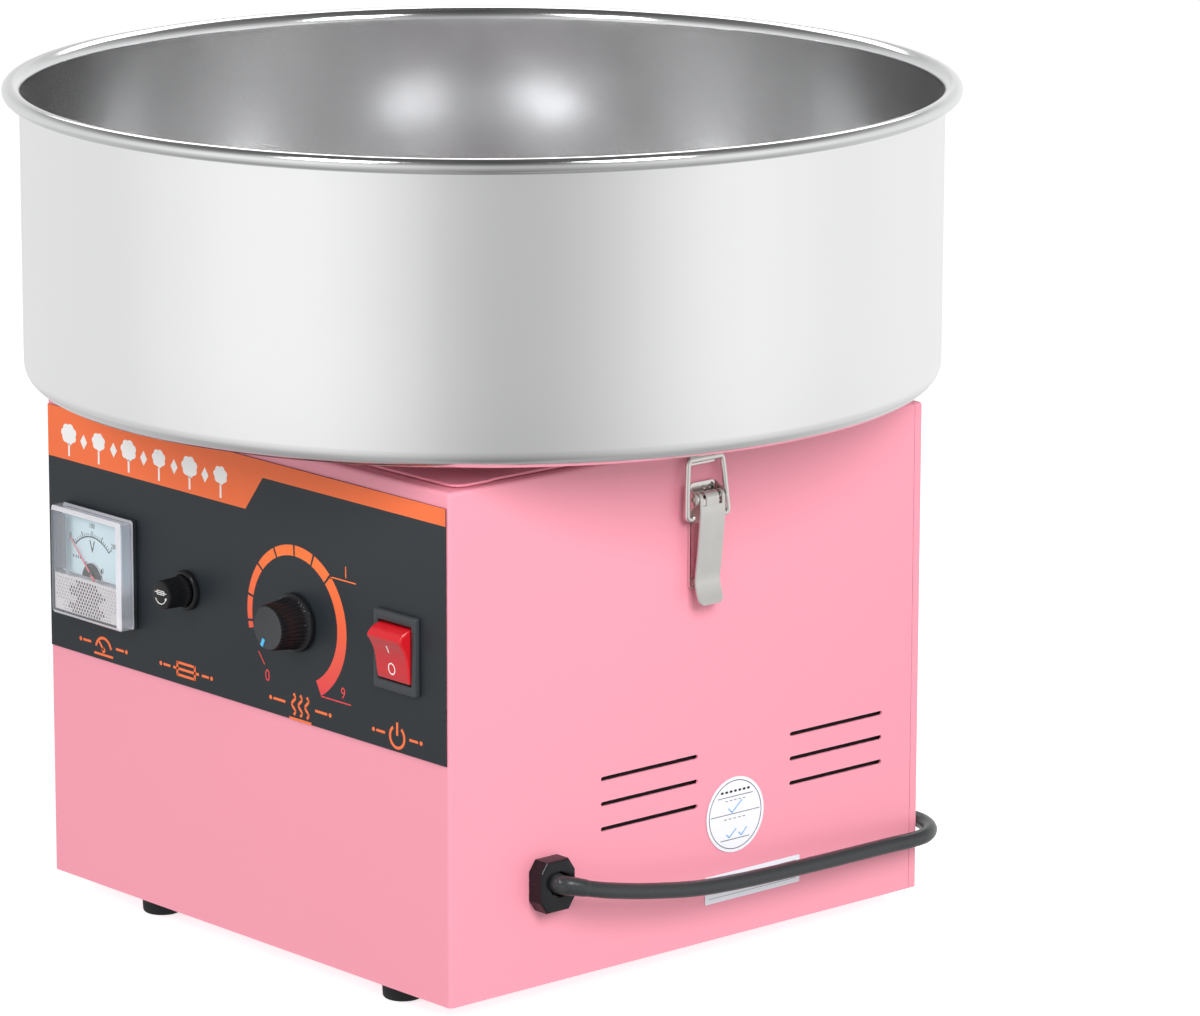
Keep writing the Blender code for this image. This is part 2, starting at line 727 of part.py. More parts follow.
def make_fuse():
    origin = (FUSE_X, OVERLAY_FACE - GAP, CONTROL_Z)
    edge = 0.0006
    holder = turned(
        "fuse_holder",
        [
            (0.0, -FUSE_BORE_DEPTH),
            (FUSE_BORE_RADIUS, -FUSE_BORE_DEPTH),
            (FUSE_BORE_RADIUS, FUSE_FLANGE),
            (FUSE_FLANGE_RADIUS - edge, FUSE_FLANGE),
            (FUSE_FLANGE_RADIUS, FUSE_FLANGE - edge),
            (FUSE_FLANGE_RADIUS, 0.0),
            (FUSE_TUBE_RADIUS, 0.0),
            (FUSE_TUBE_RADIUS, -FUSE_TUBE_DEPTH),
            (0.0, -FUSE_TUBE_DEPTH),
        ],
        BLACK_PLASTIC,
        segments=24,
        origin=origin,
        axis="-y",
    )
    smooth(holder)
    start = (FUSE_X, PANEL_BACK + GAP, CONTROL_Z)
    hex_nut("fuse_holder_nut", start, "y", FUSE_NUT_RADIUS, FUSE_NUT_LENGTH, FUSE_TUBE_RADIUS + GAP)
    turned(
        "fuse_cap",
        [
            (0.0, FUSE_CAP_PROUD),
            (FUSE_CAP_FRONT, FUSE_CAP_PROUD),
            (FUSE_CAP_FRONT + GAP, FUSE_CAP_PROUD - GAP),
            (FUSE_CAP_RADIUS, FUSE_FLANGE + GAP),
            (FUSE_BORE_RADIUS, FUSE_FLANGE + GAP),
            (FUSE_BORE_RADIUS, FUSE_CAP_BORE_END),
            (0.0, FUSE_CAP_BORE_END),
        ],
        BLACK_PLASTIC,
        segments=24,
        origin=origin,
        axis="-y",
    )
    start = (FUSE_X, origin[1] - FUSE_CAP_BORE_END + GAP, CONTROL_Z)
    cylinder("glass_fuse", start, "y", FUSE_RADIUS, FUSE_LENGTH, GLASS, segments=16)


def make_knob():
    face = OVERLAY_FACE - GAP
    edge = 0.0005
    knob = turned(
        "knob",
        [
            (0.0, KNOB_PROUD),
            (KNOB_FACE_RADIUS, KNOB_PROUD),
            (KNOB_FACE_RADIUS + edge, KNOB_PROUD - edge),
            (KNOB_BASE_RADIUS, KNOB_SKIRT + edge),
            (KNOB_SKIRT_RADIUS - edge, KNOB_SKIRT),
            (KNOB_SKIRT_RADIUS, GAP),
            (0.0, GAP),
        ],
        BLACK_PLASTIC,
        segments=32,
        origin=(KNOB_X, face, CONTROL_Z),
        axis="-y",
    )
    bore_depth = POT_SHAFT_PROUD + GAP
    bore = cylinder("cut_knob_bore", (KNOB_X, face - bore_depth, CONTROL_Z), "y", POT_SHAFT_RADIUS + GAP,
                    bore_depth + GAP, None, CUTTERS, 16)
    cut(knob, bore)
    start = (KNOB_X, face - POT_SHAFT_PROUD, CONTROL_Z)
    cylinder("pot_shaft", start, "y", POT_SHAFT_RADIUS, POT_SHAFT_LENGTH, PLATED_STEEL, segments=16)
    back = PANEL_BACK + GAP
    pot = cylinder("potentiometer", (KNOB_X, back, CONTROL_Z), "y", POT_RADIUS, POT_LENGTH, ALUMINIUM, segments=24)
    shaft_end = start[1] + POT_SHAFT_LENGTH
    recess = cylinder("cut_pot_bore", (KNOB_X, back - GAP, CONTROL_Z), "y", POT_SHAFT_RADIUS + GAP,
                      shaft_end - back + 2 * GAP, None, CUTTERS, 16)
    cut(pot, recess)


def centred_box(name, x, z, half_w, half_h, front, back, material=None, collection=PARTS):
    """A box that faces the control panel's way, from its middle and half sizes."""
    return box(name, (x - half_w, front, z - half_h), (x + half_w, back, z + half_h), material, collection)


def make_switch():
    x, z = SWITCH_X, CONTROL_Z
    face = OVERLAY_FACE - GAP
    bezel_front = face - SWITCH_BEZEL
    body = centred_box("switch_body", x, z, SWITCH_HALF_WIDTH, SWITCH_HALF_HEIGHT, bezel_front, face, BLACK_PLASTIC)
    rear = centred_box("add_switch_rear", x, z, SWITCH_REAR_HALF_WIDTH, SWITCH_REAR_HALF_HEIGHT,
                       face - SWITCH_BEZEL / 2, face + SWITCH_REAR_DEPTH, None, CUTTERS)
    well = centred_box("cut_switch_well", x, z, SWITCH_WELL_HALF_WIDTH, SWITCH_WELL_HALF_HEIGHT,
                       bezel_front - REACH, face + SWITCH_WELL_DEPTH, None, CUTTERS)
    join(body, rear)
    cut(body, well)
    # The plate's own X and Y become the machine's Y and Z.
    turn = Matrix(((0, 0, 1), (1, 0, 0), (0, 1, 0))).to_4x4()
    place = Matrix.Translation((x, bezel_front, z)) @ turn
    rocker = plate("rocker", ROCKER_OUTLINE, ROCKER_WIDTH, place, RED_PLASTIC)
    set_origin(rocker, (x, bezel_front + ROCKER_PIVOT_DEPTH, z))


# ---- bowl and spinning head ---------------------------------------------------------------------


def make_bowl():
    """The bowl's section as one closed outline, outside face first, then back down the inside."""
    bead_z = BOWL_TOP - BEAD_RADIUS
    bead_r = RIM_RADIUS - BEAD_RADIUS
    fillet_r = BOWL_RADIUS - BOWL_FILLET
    fillet_z = BOWL_BOTTOM + BOWL_FILLET
    hole = BOWL_HOLE_RADIUS
    lip_top = BOWL_BOTTOM + HOLE_LIP_HEIGHT
    outline = [
        *arc((bead_r, bead_z), BEAD_RADIUS, 110, -160, 8),
        (BOWL_RADIUS, bead_z - BEAD_RADIUS),
        *arc((fillet_r, fillet_z), BOWL_FILLET, 0, -90, 5),
        (hole, BOWL_BOTTOM),
        (hole, lip_top),
        (hole + HOLE_LIP_WIDTH, lip_top),
        (hole + 2 * HOLE_LIP_WIDTH, BOWL_BOTTOM + BOWL_SHEET),
        *arc((fillet_r, fillet_z), BOWL_FILLET - BOWL_SHEET, -90, 0, 5),
        (BOWL_RADIUS - BOWL_SHEET, bead_z - BEAD_RADIUS / 2),
        (BOWL_RADIUS - BOWL_SHEET / 2, bead_z + 0.7 * BEAD_RADIUS),
    ]
    smooth(turned("bowl", outline, SATIN_STEEL, loop=True))


def ring(name, inner, outer, low, high, material, segments=32):
    """A plain ring with a rectangular section."""
    outline = [(outer, high), (outer, low), (inner, low), (inner, high)]
    return turned(name, outline, material, segments=segments, loop=True)


def make_spinner():
    low, floor, radius = HEAD_BOTTOM, HEAD_BOTTOM + HEAD_FLOOR, HEAD_RADIUS
    bore = SHAFT_RADIUS + GAP
    band_low = floor + GAP
    band_high = band_low + HEAD_BAND_HEIGHT
    hub = 0.015
    turned(
        "head_base",
        [(radius, floor), (radius, low), (hub, low), (hub, low - HEAD_HUB_HEIGHT), (bore, low - HEAD_HUB_HEIGHT),
         (bore, floor)],
        ALUMINIUM,
        segments=32,
        loop=True,
    )
    ring("head_band", radius - 2 * HEAD_BAND_SHEET, radius - HEAD_BAND_SHEET, band_low, band_high, SATIN_STEEL, 40)
    heater_low = band_low + HEATER_LOW
    ring("heater_ring", HEATER_INNER, HEATER_OUTER, heater_low, heater_low + HEATER_HEIGHT, BRASS)
    cup_top, cup_low, cup_floor = band_high + CUP_ABOVE_BAND, floor + GAP, floor + GAP + CUP_WALL
    slope = CUP_RADIUS / 3
    turned(
        "sugar_cup",
        [
            (CUP_RADIUS, cup_top),
            (CUP_RADIUS, cup_low + slope),
            (CUP_RADIUS - slope / 2, cup_low),
            (bore, cup_low),
            (bore, cup_floor),
            (CUP_RADIUS - slope / 2 - CUP_WALL, cup_floor),
            (CUP_RADIUS - CUP_WALL, cup_low + slope + CUP_WALL),
            (CUP_RADIUS - CUP_WALL, cup_top),
        ],
        ALUMINIUM,
        segments=24,
        loop=True,
    )
    cover_low = band_high + GAP
    cover_high = band_high + HEAD_COVER_RISE
    mouth, lip = HEAD_MOUTH_RADIUS, HEAD_MOUTH_RADIUS + 2 * HEAD_BAND_SHEET
    turned(
        "head_cover",
        [
            (lip, cover_high + HEAD_COVER_SHEET),
            (radius, band_high + HEAD_COVER_SHEET),
            (radius, cover_low),
            (radius - HEAD_COVER_SHEET, cover_low),
            (lip, cover_high),
            (mouth, cover_high),
            (mouth, cover_high + HEAD_COVER_SHEET),
        ],
        ALUMINIUM,
        segments=32,
        loop=True,
    )
    nut_low = cup_floor + GAP
    shaft_length = nut_low + NUT_HEIGHT + GAP - SHAFT_BOTTOM
    shaft = cylinder("drive_shaft", (0, 0, SHAFT_BOTTOM), "z", SHAFT_RADIUS, shaft_length, PLATED_STEEL, segments=20)
    nut = cylinder("add_head_nut", (0, 0, nut_low), "z", NUT_RADIUS, NUT_HEIGHT, None, CUTTERS, segments=6)
    join(shaft, nut)
    top, gap_low, gap_high = SLIP_RING_HIGH + SLIP_RING_HEIGHT, SLIP_RING_LOW + SLIP_RING_HEIGHT, SLIP_RING_HIGH
    rings = turned(
        "slip_ring_hub",
        [
            (SLIP_RING_RADIUS, top),
            (SLIP_RING_RADIUS, gap_high),
            (SLIP_HUB_RADIUS, gap_high),
            (SLIP_HUB_RADIUS, gap_low),
            (SLIP_RING_RADIUS, gap_low),
            (SLIP_RING_RADIUS, SLIP_RING_LOW),
            (bore, SLIP_RING_LOW),
            (bore, top),
        ],
        BRASS,
        segments=20,
        loop=True,
    )
    smooth(rings)


def make_drive():
    """The motor hangs below the deck on four rubber mounts."""
    half, sheet_bottom = MOTOR_PLATE_HALF, MOTOR_PLATE_TOP - MOTOR_PLATE_SHEET
    mount = box("motor_plate", (-half, -half, sheet_bottom), (half, half, MOTOR_PLATE_TOP), PLATED_STEEL,
                radius=0.006, along=2)
    start = (0, 0, sheet_bottom - REACH / 2)
    cut(mount, cylinder("cut_motor_plate", start, "z", MOTOR_PLATE_HOLE, REACH, None, CUTTERS))
    top = sheet_bottom - GAP
    boss_low = MOTOR_BOTTOM - MOTOR_BOSS_HEIGHT
    motor = turned(
        "motor",
        [
            (0.0, top),
            (MOTOR_RADIUS - MOTOR_CHAMFER, top),
            (MOTOR_RADIUS, top - MOTOR_CHAMFER),
            (MOTOR_RADIUS, MOTOR_BOTTOM + MOTOR_CHAMFER),
            (MOTOR_RADIUS - MOTOR_CHAMFER, MOTOR_BOTTOM),
            (MOTOR_BOSS_RADIUS, MOTOR_BOTTOM),
            (MOTOR_BOSS_RADIUS, boss_low),
            (0.0, boss_low),
        ],
        ALUMINIUM,
        segments=28,
    )
    start = (0, 0, SHAFT_BOTTOM - GAP)
    cut(motor, cylinder("cut_motor_bore", start, "z", SHAFT_RADIUS + GAP, FAR, None, CUTTERS, 20))
    low, high = MOTOR_PLATE_TOP + GAP, DECK_BOTTOM - GAP
    for index, (x, y) in enumerate(((-1, -1), (1, -1), (1, 1), (-1, 1))):
        place = (x * MOUNT_OFFSET, y * MOUNT_OFFSET, low)
        cylinder(f"motor_mount_{index + 1}", place, "z", MOUNT_RADIUS, high - low, RUBBER, segments=16)


def make_brush_holder():
    """A bracket below the deck with two carbon brushes that ride on the slip rings."""
    half = SLIP_RING_HEIGHT / 2
    middles = (SLIP_RING_LOW + half, SLIP_RING_HIGH + half)
    low = SLIP_RING_LOW - GAP
    holder = box("brush_holder", (BRUSH_ARM_NEAR, -BRUSH_ARM_HALF, low),
                 (BRUSH_ARM_FAR, BRUSH_ARM_HALF, DECK_BOTTOM - GAP), BLACK_PLASTIC)
    for index, z in enumerate(middles):
        brush = box(
            f"add_brush_{index + 1}",
            (SLIP_RING_RADIUS + GAP, -BRUSH_HALF_WIDTH, z - BRUSH_HALF_HEIGHT),
            (BRUSH_ARM_NEAR + BRUSH_HALF_WIDTH, BRUSH_HALF_WIDTH, z + BRUSH_HALF_HEIGHT),
            None,
            CUTTERS,
        )
        join(holder, brush)


def make_electronics():
    floor = BODY_BOTTOM + SHEET + GAP
    board = box("control_board", (0.050, -0.120, floor), (0.130, -0.060, floor + 0.010), BOARD_GREEN)
    sink = box("add_heatsink", (0.060, -0.110, floor + 0.008), (0.084, -0.070, floor + 0.040), None, CUTTERS)
    join(board, sink)
    box("terminal_block", (0.120, -0.030, floor), (0.140, 0.020, floor + 0.018), BLACK_PLASTIC, radius=0.001)


# ---- latches ------------------------------------------------------------------------------------


def strip(name, outline, side, y, width, material=None, collection=PARTS):
    """A bent strip: its (out, up) outline in side view, extruded across the latch."""
    turn = Matrix(((1, 0, 0), (0, 0, 1), (0, 1, 0))).to_4x4()
    shape = [(side * (HALF_WIDTH + out), up) for out, up in outline]
    return plate(name, shape, width, Matrix.Translation((0, y, 0)) @ turn, material, collection)


def across_latch(name, side, out, z, radius, length, material=None, collection=PARTS):
    """A pin or a bore along Y, centred on the latch."""
    start = (side * (HALF_WIDTH + out), LATCH_Y - length / 2, z)
    return cylinder(name, start, "y", radius, length, material, collection, 12)


def make_latch(label, side):
    out, up = LATCH_PIVOT_OUT, LATCH_PIVOT_Z
    low, high = LATCH_BASE_LOW, LATCH_BASE_HIGH
    base = strip(
        f"latch_base_{label}",
        [(GAP, low), (GAP + SHEET, low), (GAP + SHEET, high), (GAP, high)],
        side, LATCH_Y, LATCH_WIDTH, PLATED_STEEL,
    )
    ear_offset = (LATCH_WIDTH - LATCH_EAR) / 2
    for index, y in enumerate((LATCH_Y - ear_offset, LATCH_Y + ear_offset)):
        foot = 1.7 * LATCH_EAR_RADIUS
        ear = strip(
            f"add_ear_{label}_{index + 1}",
            [(GAP, up - foot), (GAP, up + foot), *arc((out, up), LATCH_EAR_RADIUS, 90, -90, 6)],
            side, y, LATCH_EAR, None, CUTTERS,
        )
        join(base, ear)
    bore, through = LATCH_PIN_RADIUS + GAP, 2 * LATCH_WIDTH
    cut(base, across_latch(f"cut_latch_pin_{label}", side, out, up, bore, through, None, CUTTERS))
    pin_length = LATCH_WIDTH + 4 * GAP
    across_latch(f"latch_pin_{label}", side, out, up, LATCH_PIN_RADIUS, pin_length, PLATED_STEEL)

    eye = (BAIL_PIVOT_OUT + LEVER_BAIL_EYE[0], BAIL_PIVOT_Z + LEVER_BAIL_EYE[1])
    lever = strip(
        f"latch_lever_{label}",
        [
            *arc((out, up), LEVER_EYE_RADIUS, 200, -20, 10),
            *[(out + x, up + z) for x, z in LEVER_OUTER + LEVER_INNER],
            eye,
        ],
        side, LATCH_Y, 2 * LEVER_HALF, PLATED_STEEL,
    )
    cut(
        lever,
        across_latch(f"cut_lever_pin_{label}", side, out, up, bore, through, None, CUTTERS),
        across_latch(f"cut_lever_bail_{label}", side, BAIL_PIVOT_OUT, BAIL_PIVOT_Z, BAIL_WIRE + GAP, through,
                     None, CUTTERS),
    )
    make_bail(label, side)


def make_bail(label, side):
    """A wire loop that turns in the lever's lower eye and reaches up past the keeper."""
    low = Vector((side * (HALF_WIDTH + BAIL_PIVOT_OUT), LATCH_Y, BAIL_PIVOT_Z))
    high = Vector((side * (HALF_WIDTH + BAIL_BAR_OUT), LATCH_Y, BAIL_BAR_Z))
    rise = (high - low).normalized()
    corner, bend = BAIL_CORNER, 0.3 * BAIL_CORNER
    points = []
    for sign, order in ((-1, 1), (1, -1)):
        side_low = Vector((0, sign * BAIL_HALF_LOW, 0))
        side_high = Vector((0, sign * BAIL_HALF_HIGH, 0))
        inward = Vector((0, -sign, 0))
        leg = [
            low + side_low + inward * corner,
            low + side_low + inward * bend + rise * bend,
            low + side_low + rise * corner,
            high + side_high - rise * corner,
            high + side_high - rise * bend + inward * bend,
            high + side_high + inward * corner,
        ]
        points += leg[::order]
    wire(f"latch_bail_{label}", points, BAIL_WIRE, PLATED_STEEL, resolution=1, closed=True)


def make_keeper(label, side):
    """A steel tongue under the bowl. Its outward lip ends just short of the bail's bar."""
    top, sheet, tongue = BOWL_BOTTOM - GAP, KEEPER_SHEET, KEEPER_TONGUE
    lip = BAIL_BAR_OUT - BAIL_WIRE - KEEPER_GAP
    lip_low = BAIL_BAR_Z - 2 * BAIL_WIRE
    strip(
        f"bowl_keeper_{label}",
        [
            (KEEPER_REACH, top),
            (KEEPER_REACH, top - sheet),
            (tongue, top - sheet),
            (tongue, lip_low),
            (lip, lip_low),
            (lip, lip_low + sheet),
            (tongue + sheet, lip_low + 1.5 * sheet),
            (tongue + sheet, top),
        ],
        side, LATCH_Y, KEEPER_WIDTH, PLATED_STEEL,
    )


# ---- labels, gland and cord ---------------------------------------------------------------------


def make_labels():
    x = HALF_WIDTH + GAP
    cylinder("round_sticker", (x, *STICKER_CENTRE), "x", STICKER_RADIUS, STICKER_THICKNESS, WHITE_CARD, segments=40)
    box("rating_label", (x, *LABEL_LOW), (x + STICKER_THICKNESS, *LABEL_HIGH), WHITE_CARD)


def make_gland():
    """A two-part clamp bushing: an eight-sided block and a collar through the wall, with a cord bore."""
    x = HALF_WIDTH + GAP
    outline = []
    for sign_y, sign_z, order in ((1, 1, 1), (1, -1, -1), (-1, -1, 1), (-1, 1, -1)):
        pair = [
            (sign_y * (GLAND_HALF_WIDTH - GLAND_CHAMFER_Y), sign_z * GLAND_HALF_HEIGHT),
            (sign_y * GLAND_HALF_WIDTH, sign_z * (GLAND_HALF_HEIGHT - GLAND_CHAMFER_Z)),
        ]
        outline += pair[::order]
    # The plate's own X and Y become the machine's Y and Z.
    turn = Matrix(((0, 0, 1), (1, 0, 0), (0, 1, 0))).to_4x4()
    place = Matrix.Translation((x + GLAND_PROUD / 2, GLAND_Y, GLAND_Z)) @ turn
    gland = plate("cord_gland", outline, GLAND_PROUD, place, BLACK_PLASTIC)
    start = (x + GLAND_PROUD / 4, GLAND_Y, GLAND_Z)
    join(gland, cylinder("add_gland_neck", start, "-x", GLAND_NECK_RADIUS, GLAND_NECK_LENGTH, None, CUTTERS, 24))
    start = (x - REACH, GLAND_Y, GLAND_Z)
    cut(gland, cylinder("cut_gland_bore", start, "x", CORD_RADIUS + GAP, 2 * REACH, None, CUTTERS, 16))
    start = (HALF_WIDTH - SHEET - GAP, GLAND_Y, GLAND_Z)
    hex_nut("gland_nut", start, "-x", GLAND_NUT_RADIUS, GLAND_NUT_LENGTH, GLAND_NECK_RADIUS + GAP)


def smooth_route(points, step):
    """Evenly spaced points on a Catmull-Rom curve through the route's points."""
    ends = [2 * points[0] - points[1], *points, 2 * points[-1] - points[-2]]
    dense = []
    for i in range(1, len(ends) - 2):
        a, b, c, d = ends[i - 1], ends[i], ends[i + 1], ends[i + 2]
        for k in range(20):
            t = k / 20
            dense.append(
                0.5 * (2 * b + (c - a) * t + (2 * a - 5 * b + 4 * c - d) * t**2 + (3 * b - a - 3 * c + d) * t**3)
            )
    dense.append(points[-1])
    length = sum((q - p).length for p, q in zip(dense, dense[1:]))
    count = max(2, round(length / step))
    result, walked, target = [dense[0]], 0.0, length / count
    for p, q in zip(dense, dense[1:]):
        span = (q - p).length
        while walked + span >= target * len(result) and len(result) < count:
            result.append(p.lerp(q, (target * len(result) - walked) / span))
        walked += span
    return [*result, dense[-1]]


def make_cord():
    """The cord up to its coil, and the coiled rest as one ring."""
    route = smooth_route([Vector(point) for point in CORD_ROUTE], 4.4 * CORD_RADIUS)
    wire("power_cord", route, CORD_RADIUS, RUBBER, resolution=2)
    coil = ring("cord_coil", COIL_RADIUS - COIL_HALF_BAND, COIL_RADIUS + COIL_HALF_BAND, GAP, 4 * CORD_RADIUS, RUBBER)
    coil.location = (*COIL_CENTRE, 0)


def make_plug():
    """A moulded plug that lies on its side beside the coil, pins away from the cord."""
    half_x, half_y, half_z = PLUG_HALF
    z = half_z + GAP
    plug = box("power_plug", (PLUG_X - half_x, PLUG_Y - half_y, GAP), (PLUG_X + half_x, PLUG_Y + half_y, z + half_z),
               RUBBER, radius=PLUG_ROUND)
    for index, middle in enumerate((PLUG_Y - PIN_OFFSET, PLUG_Y + PIN_OFFSET)):
        pin = box(
            f"add_pin_{index + 1}",
            (PLUG_X - half_x - PIN_LENGTH, middle - PIN_HALF_THICKNESS, z - PIN_HALF_WIDTH),
            (PLUG_X - half_x + PIN_HALF_WIDTH, middle + PIN_HALF_THICKNESS, z + PIN_HALF_WIDTH),
            None,
            CUTTERS,
        )
        join(plug, pin)


# ---- assembly -----------------------------------------------------------------------------------


def main():
    openings = make_body()
    make_bottom_plate()
    make_deck()
    make_feet()
    make_overlay(openings)
    make_meter()
    make_fuse()
    make_knob()
    make_switch()
    make_bowl()
    ring("bowl_seat_ring", SEAT_INNER, SEAT_OUTER, DECK_TOP + GAP, BOWL_BOTTOM - GAP, RUBBER)
    make_spinner()
    make_drive()
    make_brush_holder()
    make_electronics()
    for label, side in (("right", 1), ("left", -1)):
        make_latch(label, side)
        make_keeper(label, side)
    make_labels()
    make_gland()
    make_cord()
    make_plug()


main()
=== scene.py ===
"""The finished look of a table-top cotton candy machine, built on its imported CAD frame. Z is up.

Pieces are built in millimetres, and show() turns them into metres. The camera and the lights are in metres.
"""

from math import atan2, cos, hypot, pi, radians, sin

import bmesh
import bpy
from mathutils import Matrix, Vector


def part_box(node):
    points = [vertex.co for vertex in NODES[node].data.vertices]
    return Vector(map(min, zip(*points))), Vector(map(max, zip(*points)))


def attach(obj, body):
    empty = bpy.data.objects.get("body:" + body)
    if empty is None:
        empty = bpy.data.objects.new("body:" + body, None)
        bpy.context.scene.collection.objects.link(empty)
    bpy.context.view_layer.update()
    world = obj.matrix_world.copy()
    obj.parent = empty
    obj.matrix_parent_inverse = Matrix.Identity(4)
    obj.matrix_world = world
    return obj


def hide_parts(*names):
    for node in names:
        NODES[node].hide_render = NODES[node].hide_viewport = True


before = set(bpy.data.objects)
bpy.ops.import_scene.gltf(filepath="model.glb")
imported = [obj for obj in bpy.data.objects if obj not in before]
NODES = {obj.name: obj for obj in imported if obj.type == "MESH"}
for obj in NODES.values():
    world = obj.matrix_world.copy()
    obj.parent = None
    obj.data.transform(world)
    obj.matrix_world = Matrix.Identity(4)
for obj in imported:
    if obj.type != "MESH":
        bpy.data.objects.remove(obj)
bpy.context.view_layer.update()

# ---- the camera
CAMERA_PLACE = Vector((2.5332, -2.1772, 1.009))
CAMERA_AZIMUTH = radians(48.924)
CAMERA_PITCH = radians(13.069)
CAMERA_LENS = 186.9
CAMERA_SHIFT = (0.0623, -0.0117)

# ---- sizes shared with the CAD, in millimetres as all pieces are
WALL_X = 171
FILM_FACE = -170.9
PANEL_FACE = -171.2
CONTROL_Z = 198.5
METER_X = -121.6
FUSE_X = -46
KNOB_X = 47.5
SWITCH_X = 131.5
LATCH_Y = 4.5
GLAND_PLACE = (-104, 70)
CORD_ROUTE = ((186.2, -104, 71.5), (189.7, -97.5, 70.2), (192.2, -89, 68), (193.5, -76, 64.9), (193.5, -50, 59.6),
    (192.5, -15, 54), (191.5, 20, 51.5), (190, 60, 50), (188, 100, 48.8), (185.8, 133, 47.8), (185.2, 150, 47.2),
    (182.7, 164, 46.8), (174.8, 175.8, 46.5), (163, 183.7, 46.2), (149, 186.7, 45.8), (120, 188.5, 43),
    (90, 188.5, 34.5), (60, 188, 21.5), (33, 187.5, 11), (6, 187, 5.6), (-22, 186.8, 4.7))
COIL_CENTRE = (-60, 239.5)
COIL_OUTER, COIL_INNER = 52.4, 43.6
COIL_LOW, COIL_HIGH = 4.7, 13.5
PLUG_PLACE = (-148, 187.1, 12.8)

# ---- the cord as it is recorded, in metres
CORD_DIAMETER = 0.0087

IDENTITY = Matrix.Identity(4)
METRES = 0.001


# ---- placing: local X and Y lie in a face, and local Z leaves it


def on_front(x, z, y=PANEL_FACE):
    return Matrix(((1, 0, 0, x), (0, 0, -1, y), (0, 1, 0, z), (0, 0, 0, 1)))


def on_side(y, z, sign=1, x=WALL_X):
    """Local X runs towards the rear on the right wall, and towards the front on the left wall."""
    return Matrix(((0, 0, sign, sign * x), (sign, 0, 0, y), (0, 1, 0, z), (0, 0, 0, 1)))


def standing(x=0.0, y=0.0, z=0.0):
    return Matrix.Translation((x, y, z))


# ---- colours and materials


def linear(red, green, blue):
    """An 8-bit screen colour as linear light."""
    out = []
    for value in (red, green, blue):
        value /= 255
        out.append(value / 12.92 if value <= 0.04045 else ((value + 0.055) / 1.055) ** 2.4)
    return (*out, 1.0)


def shifted(colour, factor):
    return (*[min(1.0, channel * factor) for channel in colour[:3]], 1.0)


def add_node(tree, kind, inputs=None, **settings):
    """A shader node with its settings and inputs."""
    node = tree.nodes.new("ShaderNode" + kind)
    for key, value in settings.items():
        setattr(node, key, value)
    feed(tree, node, inputs or {})
    return node


def feed(tree, node, inputs):
    """Sets inputs by name or number. A value that is another node's output is linked."""
    for socket, value in inputs.items():
        if isinstance(value, bpy.types.NodeSocket):
            tree.links.new(value, node.inputs[socket])
        else:
            node.inputs[socket].default_value = value


def finish(
    name,
    colour,
    rough,
    metal=0.0,
    tint=0.05,
    tint_scale=30.0,
    grain=900.0,
    rough_change=0.08,
    bump=0.15,
    depth=0.00003,
    stretch=(1.0, 1.0, 1.0),
    coat=0.0,
    coat_rough=0.1,
    gloss=0.5,
    alpha=1.0,
    glow=0.0,
    marks=0.0,
):
    """A procedural finish: colour drift, a fine grain in roughness and height, and optional soft marks."""
    material = bpy.data.materials.new(name)
    material.use_nodes = True
    tree = material.node_tree
    where = add_node(tree, "TexCoord").outputs["Object"]
    drift = add_node(tree, "TexNoise", {"Scale": tint_scale, "Detail": 3.0, "Vector": where}).outputs["Fac"]
    mix = add_node(tree, "Mix", {0: drift, 6: shifted(colour, 1 - tint), 7: shifted(colour, 1 + tint)},
                   data_type="RGBA").outputs[2]
    mapped = add_node(tree, "Mapping", {"Scale": stretch, "Vector": where}).outputs["Vector"]
    fine = add_node(tree, "TexNoise", {"Scale": grain, "Detail": 4.0, "Vector": mapped}).outputs["Fac"]
    source = fine
    if marks:
        soft = add_node(tree, "TexNoise", {"Scale": tint_scale * 2.5, "Vector": where}).outputs["Fac"]
        source = add_node(tree, "Mix", {0: marks, 2: fine, 3: soft}, data_type="FLOAT").outputs[0]
    least, most = max(0.02, rough - rough_change), min(1.0, rough + rough_change)
    spread = add_node(tree, "MapRange", {"To Min": least, "To Max": most, "Value": source}).outputs["Result"]
    normal = add_node(tree, "Bump", {"Strength": bump, "Distance": depth, "Height": fine}).outputs["Normal"]
    shader = tree.nodes["Principled BSDF"]
    feed(tree, shader, {"Base Color": mix, "Roughness": spread, "Normal": normal, "Metallic": metal,
        "Specular IOR Level": gloss, "Coat Weight": coat, "Coat Roughness": coat_rough, "Alpha": alpha})
    if glow:
        feed(tree, shader, {"Emission Color": mix, "Emission Strength": glow})
    return material


def by_height(material, low, high, bottom, top):
    """Grades a finish's colour from bottom to top between two heights."""
    tree = material.node_tree
    parts = add_node(tree, "SeparateXYZ", {"Vector": add_node(tree, "TexCoord").outputs["Object"]})
    share = add_node(tree, "MapRange", {"From Min": low, "From Max": high, "Value": parts.outputs["Z"]})
    mix = add_node(tree, "Mix", {0: share.outputs["Result"], 6: bottom, 7: top}, data_type="RGBA")
    feed(tree, tree.nodes["Principled BSDF"], {"Base Color": mix.outputs[2]})
    return material


def pink_paint():
    return finish("pink_powder_coat", (0.9, 0.32, 0.412, 1), 0.42, tint=0.012, tint_scale=9, grain=1400,
        rough_change=0.06, bump=0.25, coat=0.15, coat_rough=0.25)


def satin_steel():
    return finish("satin_steel", (0.925, 0.927, 0.935, 1), 0.24, metal=1.0, tint=0.01, tint_scale=14, grain=90,
        rough_change=0.03, bump=0.02, depth=0.00002, stretch=(1, 1, 9), marks=0.5)


